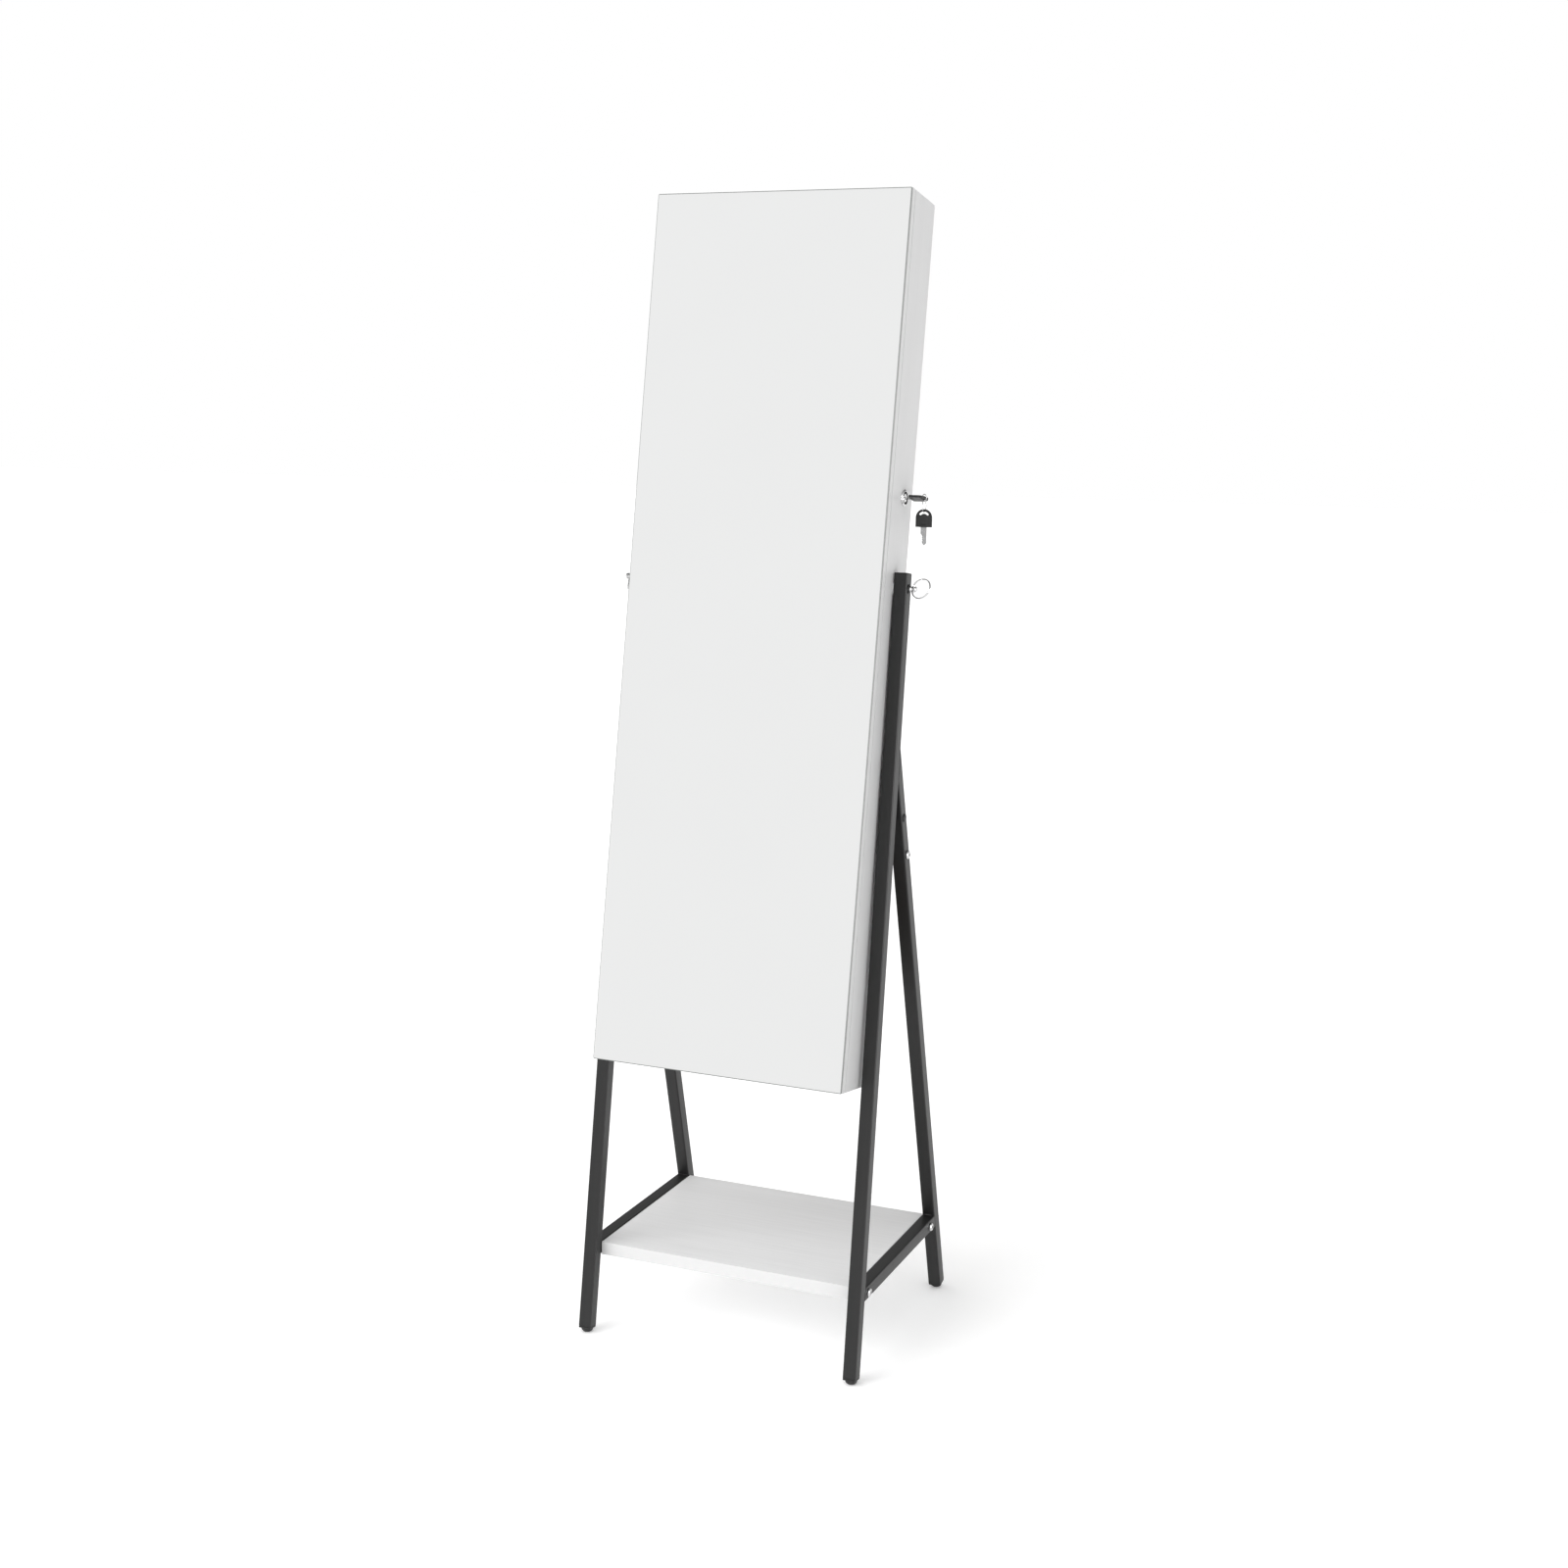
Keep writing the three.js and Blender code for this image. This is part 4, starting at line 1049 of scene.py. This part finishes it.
def add_door():
    board = block((-HALF, DOOR_FRONT, BOTTOM), (HALF, DOOR_BACK, TOP), 0.35)
    piece("door_board", board, BOARD_UP, "door", CABINET, "door_panel")

    def face_look(centre, normal):
        if normal.y < -0.99:
            return 0
        return 2 if normal.y > 0.99 else 1

    glass = block((-HALF, FRONT, BOTTOM), (HALF, FRONT + GLASS, TOP), GLASS_CHAMFER, 1)
    piece("mirror_plate", glass, [SILVER, GLASS_EDGE, MIRROR_BACK], "door", CABINET, "mirror_glass",
          choose=face_look, sharp=20)
    tape = block((-HALF + 2, FRONT + GLASS - 0.1, BOTTOM + 2), (HALF - 2, DOOR_FRONT + 0.1, TOP - 2), 0.05, 1)
    piece("mirror_adhesive", tape, WHITE_NYLON, "door", CABINET, ())


def add_strike():
    """Strike on the door's back: a screwed base, two ears and the bar between them."""
    x = HALF - 24.5
    low, high = LOCK_Z - 12, LOCK_Z + 12
    base = block((x - 12, DOOR_BACK - 0.1, low), (x + 12, DOOR_BACK + 1.5, high), 0.4)
    ears = [
        block((x + ear, DOOR_BACK, low), (x + ear + 1.6, DOOR_BACK + 15, high), 0.5) for ear in (-12, 10.4)
    ]
    bar = moved(rod(2, x - 12.6, x + 12.6, 0.4), shift(0, DOOR_BACK + 11.5, LOCK_Z + 8.5))
    piece("strike_bracket", merged(base, *ears, bar), ZINC, "door", CABINET, "strike_plate")
    heads = [
        moved(screw_head(2.4), shift(x, DOOR_BACK + 1.55, LOCK_Z + step) @ turn(QUARTER, "Z"))
        for step in (-7, 3)
    ]
    piece("strike_screws", merged(*heads), DARK_STEEL, "door", CABINET, ())


# -------- lock and keys

def add_lock():
    """Cam lock: a chrome rosette whose dished recess is lined near-black as painted shade, its ribbed barrel,
    nut, plug and cam.
    """
    bore = PLUG_R + 0.4
    dish = eased([(bore, 0.3), (8.0, 0.3), (8.5, 2.3)], 0.2)
    rim = [(9.2, 2.6), (ESCUTCHEON_R - 1, 2.2), (ESCUTCHEON_R, 1.1), (ESCUTCHEON_R, 0.3), (BARREL_R, 0.3)]
    barrel = []
    groove = BARREL_R - 0.4
    for rib in range(BARREL_RIBS):
        x = -2.7 - rib * 1.6
        barrel += [(BARREL_R, x), (groove, x - 0.4), (groove, x - 0.8), (BARREL_R, x - 1.2)]
    shell = turned(dish + rim + barrel + [(BARREL_R, BARREL_END), (bore, BARREL_END)], 64)

    # Faces inside the dish get the near-black look: painted shade in the recess.
    def painted_shade_recess_look(centre, normal):
        return int(centre.x > 0 and math.hypot(centre.y, centre.z) < 8.55)

    piece("lock_rosette", shell, [CHROME, RECESS_PAINTED_SHADE], "cabinet", LOCK, "lock_body",
          choose=painted_shade_recess_look)
    inner, outer = BARREL_R + 0.1, 11.6
    nut = [(inner, -BOARD - 4.2), (outer, -BOARD - 4.2), (outer, -BOARD), (inner, -BOARD)]
    nut = turned(eased(nut, 0.3, closed=True), 6)
    piece("lock_nut", nut, ZINC, "cabinet", LOCK, (), sharp=30)
    half = Vector((0, BLADE_WIDTH / 2 + GAP, BLADE_THICK / 2 + GAP))
    slot = moved(block(Vector((-21, 0, 0)) - half, Vector((5, 0, 0)) + half, 0.1), turn(KEY_TURN, "X"))
    plug = turned(eased([(0, -22.5), (PLUG_R, -22.5), (PLUG_R, 1.6), (PLUG_R - 0.5, 2.1), (0, 2.1)], 0.2), 48)
    plug = merged(carved(plug, slot), block((-26, -3, -3), (-22, 3, 3), 0.3))
    piece("lock_barrel_plug", plug, CHROME, "lock_plug", LOCK, "lock_plug")
    outline = arc((0, 0), 8, -60, 240, 30) + [(-4.6, -33)] + arc((0, -34), 4.6, 180, 360, 12) + [(4.6, -33)]
    hole = [(-3.2, -3.2), (3.2, -3.2), (3.2, 3.2), (-3.2, 3.2)]
    flat = plate([outline, hole], 2, 0.3)
    upright = Matrix(((0, 0, 1, 0), (0, 1, 0, 0), (-1, 0, 0, 0), (0, 0, 0, 1)))
    piece("lock_cam_arm", moved(flat, shift(CAM_X, 0, 0) @ upright), ZINC, "lock_plug", LOCK,
          "lock_cam")
    screw = moved(screw_head(4.0), shift(-27.6, 0, 0) @ turn(math.pi, "Z"))
    washer = rod(5.2, -26.9, -25.5, 0.3)
    piece("lock_cam_screw", merged(screw, washer), DARK_STEEL, "lock_plug", LOCK, ())


def key_bow():
    """Moulded bow with eased edges, a curved slot and a collar round the blade."""
    centre = (BOW_LENGTH - BOW_R, 0)
    edge = [(0, -BOW_R)] + arc(centre, BOW_R, -90, 90, 40) + [(0, BOW_R)]
    slot = arc(centre, SLOT_OUTER_R, -58, 58, 24) + arc(centre, SLOT_INNER_R, 58, -58, 20)
    collar = block((-0.2, -5.4, -2.1), (3.6, 5.4, 2.1), 0.7, 3)
    return merged(plate([edge, slot], BOW_THICK, 0.85), collar)


def key_blade(length):
    """Stepped, notched and grooved blade, along -X from the bow."""
    half = BLADE_WIDTH / 2
    edge = [(2, half), (-0.36 * length, half), (-0.45 * length, half - 2)]
    for notch in range(3):
        x = -(0.5 + 0.1 * notch) * length
        edge += [(x, half - 2), (x - 0.03 * length, half - 2.9), (x - 0.06 * length, half - 2)]
    edge += [(-0.84 * length, half - 2), (-length, -0.6), (-0.88 * length, -half), (2, -half)]
    blade = plate([edge], BLADE_THICK, 0.15)
    grooves = [
        block((-0.9 * length, low, face - 0.35), (-0.04 * length, low + 1.1, face + 0.35), 0.1)
        for low in (-2.2, 0.1) for face in (BLADE_THICK / 2, -BLADE_THICK / 2)
    ]
    return carved(blade, *grooves)


UPPER_LINK_R = 4.6
LOWER_LINK_R = 8
LINK_WIRE_R = 0.55
CHAIN_REACH = BOW_R - 0.5
BOW_SLOPE = KEY_TURN - TILT
CHAIN_X = KEY_STANDOFF + BOW_LENGTH - BOW_R + CHAIN_REACH * math.cos(CHAIN_TURN)
CHAIN_Y = CHAIN_REACH * math.sin(CHAIN_TURN) * math.cos(BOW_SLOPE)
UPPER_LINK_Z = CHAIN_REACH * math.sin(CHAIN_TURN) * math.sin(BOW_SLOPE) - 0.6
LOWER_LINK_Z = UPPER_LINK_Z - UPPER_LINK_R + 2 * LINK_WIRE_R + GAP - LOWER_LINK_R
SPARE_TOP = LOWER_LINK_Z - LOWER_LINK_R + LINK_WIRE_R + GAP + BOW_R - SLOT_OUTER_R


def add_keys():
    """The key in the lock, the two links on it and the spare that hangs from them."""
    grip = LOCK @ turn(KEY_TURN, "X") @ shift(KEY_STANDOFF, 0, 0)
    piece("key_blade_inserted", key_blade(BLADE_LENGTH), KEY_STEEL, "key", grip, "key_blade")
    piece("key_bow_inserted", key_bow(), BLACK_PLASTIC, "key", grip, "key_bow")
    upper = rope(circle(UPPER_LINK_R, 48, (1, 0, 0), (0, 0, 1)), LINK_WIRE_R, 10, closed=True)
    upper_place = KEYS @ shift(CHAIN_X, CHAIN_Y, UPPER_LINK_Z) @ turn(CHAIN_TURN, "Z")
    piece("key_link_small", upper, CHROME, "key_link", upper_place, "key_link_upper")
    lower = rope(circle(LOWER_LINK_R, 56, (0, 1, 0), (0, 0, 1)), LINK_WIRE_R, 10, closed=True)
    lower_place = KEYS @ shift(CHAIN_X, CHAIN_Y, LOWER_LINK_Z)
    piece("key_link_large", lower, CHROME, "spare_key", lower_place, "key_link_lower")
    hang = shift(CHAIN_X, CHAIN_Y, SPARE_TOP) @ turn(-QUARTER, "Y") @ turn(QUARTER, "X")
    spare = KEYS @ hang @ shift(-BOW_LENGTH, 0, 0)
    piece("spare_bow", key_bow(), BLACK_PLASTIC, "spare_key", spare, "spare_key_bow")
    piece("spare_blade", key_blade(SPARE_BLADE_LENGTH), KEY_STEEL, "spare_key", spare, "spare_key_blade")


# -------- camera, light and floor

def add_camera():
    data = bpy.data.cameras.new("camera")
    data.sensor_width = 36
    data.lens = CAMERA_LENS
    camera = linked("camera", data)
    look = turn(CAMERA_YAW, "Z") @ turn(QUARTER - CAMERA_PITCH, "X") @ turn(CAMERA_ROLL, "Z")
    camera.matrix_world = Matrix.Translation(PIVOT + Vector(CAMERA_FROM_PIVOT)) @ look
    bpy.context.scene.camera = camera


def add_glint(name, place, target, size, power):
    """A panel that only shows as a gleam on glossy edges."""
    data = bpy.data.lights.new(name, "AREA")
    data.shape = "RECTANGLE"
    data.size, data.size_y = size
    data.energy = power
    light = linked(name, data)
    light.location = place
    light.rotation_euler = (Vector(target) - Vector(place)).to_track_quat("-Z", "Y").to_euler()
    light.visible_diffuse = False


def add_sun(name, direction, strength, spread):
    """Soft light from a direction. It isn't seen in the mirror."""
    data = bpy.data.lights.new(name, "SUN")
    data.energy = strength
    data.angle = math.radians(spread)
    light = linked(name, data)
    light.rotation_euler = Vector(direction).to_track_quat("Z", "Y").to_euler()
    light.visible_glossy = False


def add_world():
    """A white sky, a little brighter from the front and left, that reflections see darker overhead."""
    world = bpy.data.worlds.new("studio")
    world.use_nodes = True
    bpy.context.scene.world = world
    tree = world.node_tree
    direction = tree.nodes.new("ShaderNodeTexCoord").outputs["Generated"]
    ray = tree.nodes.new("ShaderNodeLightPath").outputs
    side = {0: direction, 1: BRIGHT_SIDE.normalized()}
    facing_light = add_node(tree, "VectorMath", side, operation="DOT_PRODUCT").outputs["Value"]
    parts = add_node(tree, "SeparateXYZ", {0: direction}).outputs
    rearward, above = ramp(tree, parts["Y"], *REARWARD), ramp(tree, parts["Z"], *ABOVE_HORIZON)
    lit = worked_out(tree, "SUBTRACT", 1.0, worked_out(tree, "MULTIPLY", rearward, above))
    reflected = worked_out(tree, "MULTIPLY", ramp(tree, parts["Z"], *CEILING), lit)
    fields = {"Factor": ray["Is Glossy Ray"], "A": ramp(tree, facing_light, *SOFT_SKY), "B": reflected}
    mixed = add_node(tree, "Mix", fields).outputs["Result"]
    strength = worked_out(tree, "MAXIMUM", mixed, ray["Is Camera Ray"])
    background = tree.nodes["Background"]
    tree.links.new(strength, background.inputs["Strength"])
    background.inputs["Color"].default_value = WHITE


def add_floor():
    mesh = bpy.data.meshes.new("floor")
    reach = 30
    corners = [(-reach, -reach, 0), (reach, -reach, 0), (reach, reach, 0), (-reach, reach, 0)]
    mesh.from_pydata(corners, [], [(0, 1, 2, 3)])
    look = Look("pale_floor", {"Roughness": 1.0, "Specular IOR Level": 0.0, "Emission Strength": FLOOR_GLOW})
    look.shader.inputs["Emission Color"].default_value = WHITE
    look.tint(look.noise(3, detail=4), grey(0.93), grey(0.95))
    mesh.materials.append(look.material)
    linked("floor", mesh)


add_camera()
add_stand()
for plunger_side in (RIGHT, LEFT):
    add_plunger(plunger_side)
add_case()
add_back()
add_inner_shelves()
add_necklace_rail()
add_velvet()
add_catch()
add_hinges()
add_door()
add_strike()
add_lock()
add_keys()
add_world()
add_floor()
add_sun("key_light", (-0.5, -0.75, 0.62), 1.5, 50)
add_glint("edge_light", (3.2, -1.3, 1.4), (0.2, 0, 0.8), (0.35, 2.6), 100)

scene = bpy.context.scene
scene.view_settings.view_transform = "Standard"
scene.view_settings.look = "None"
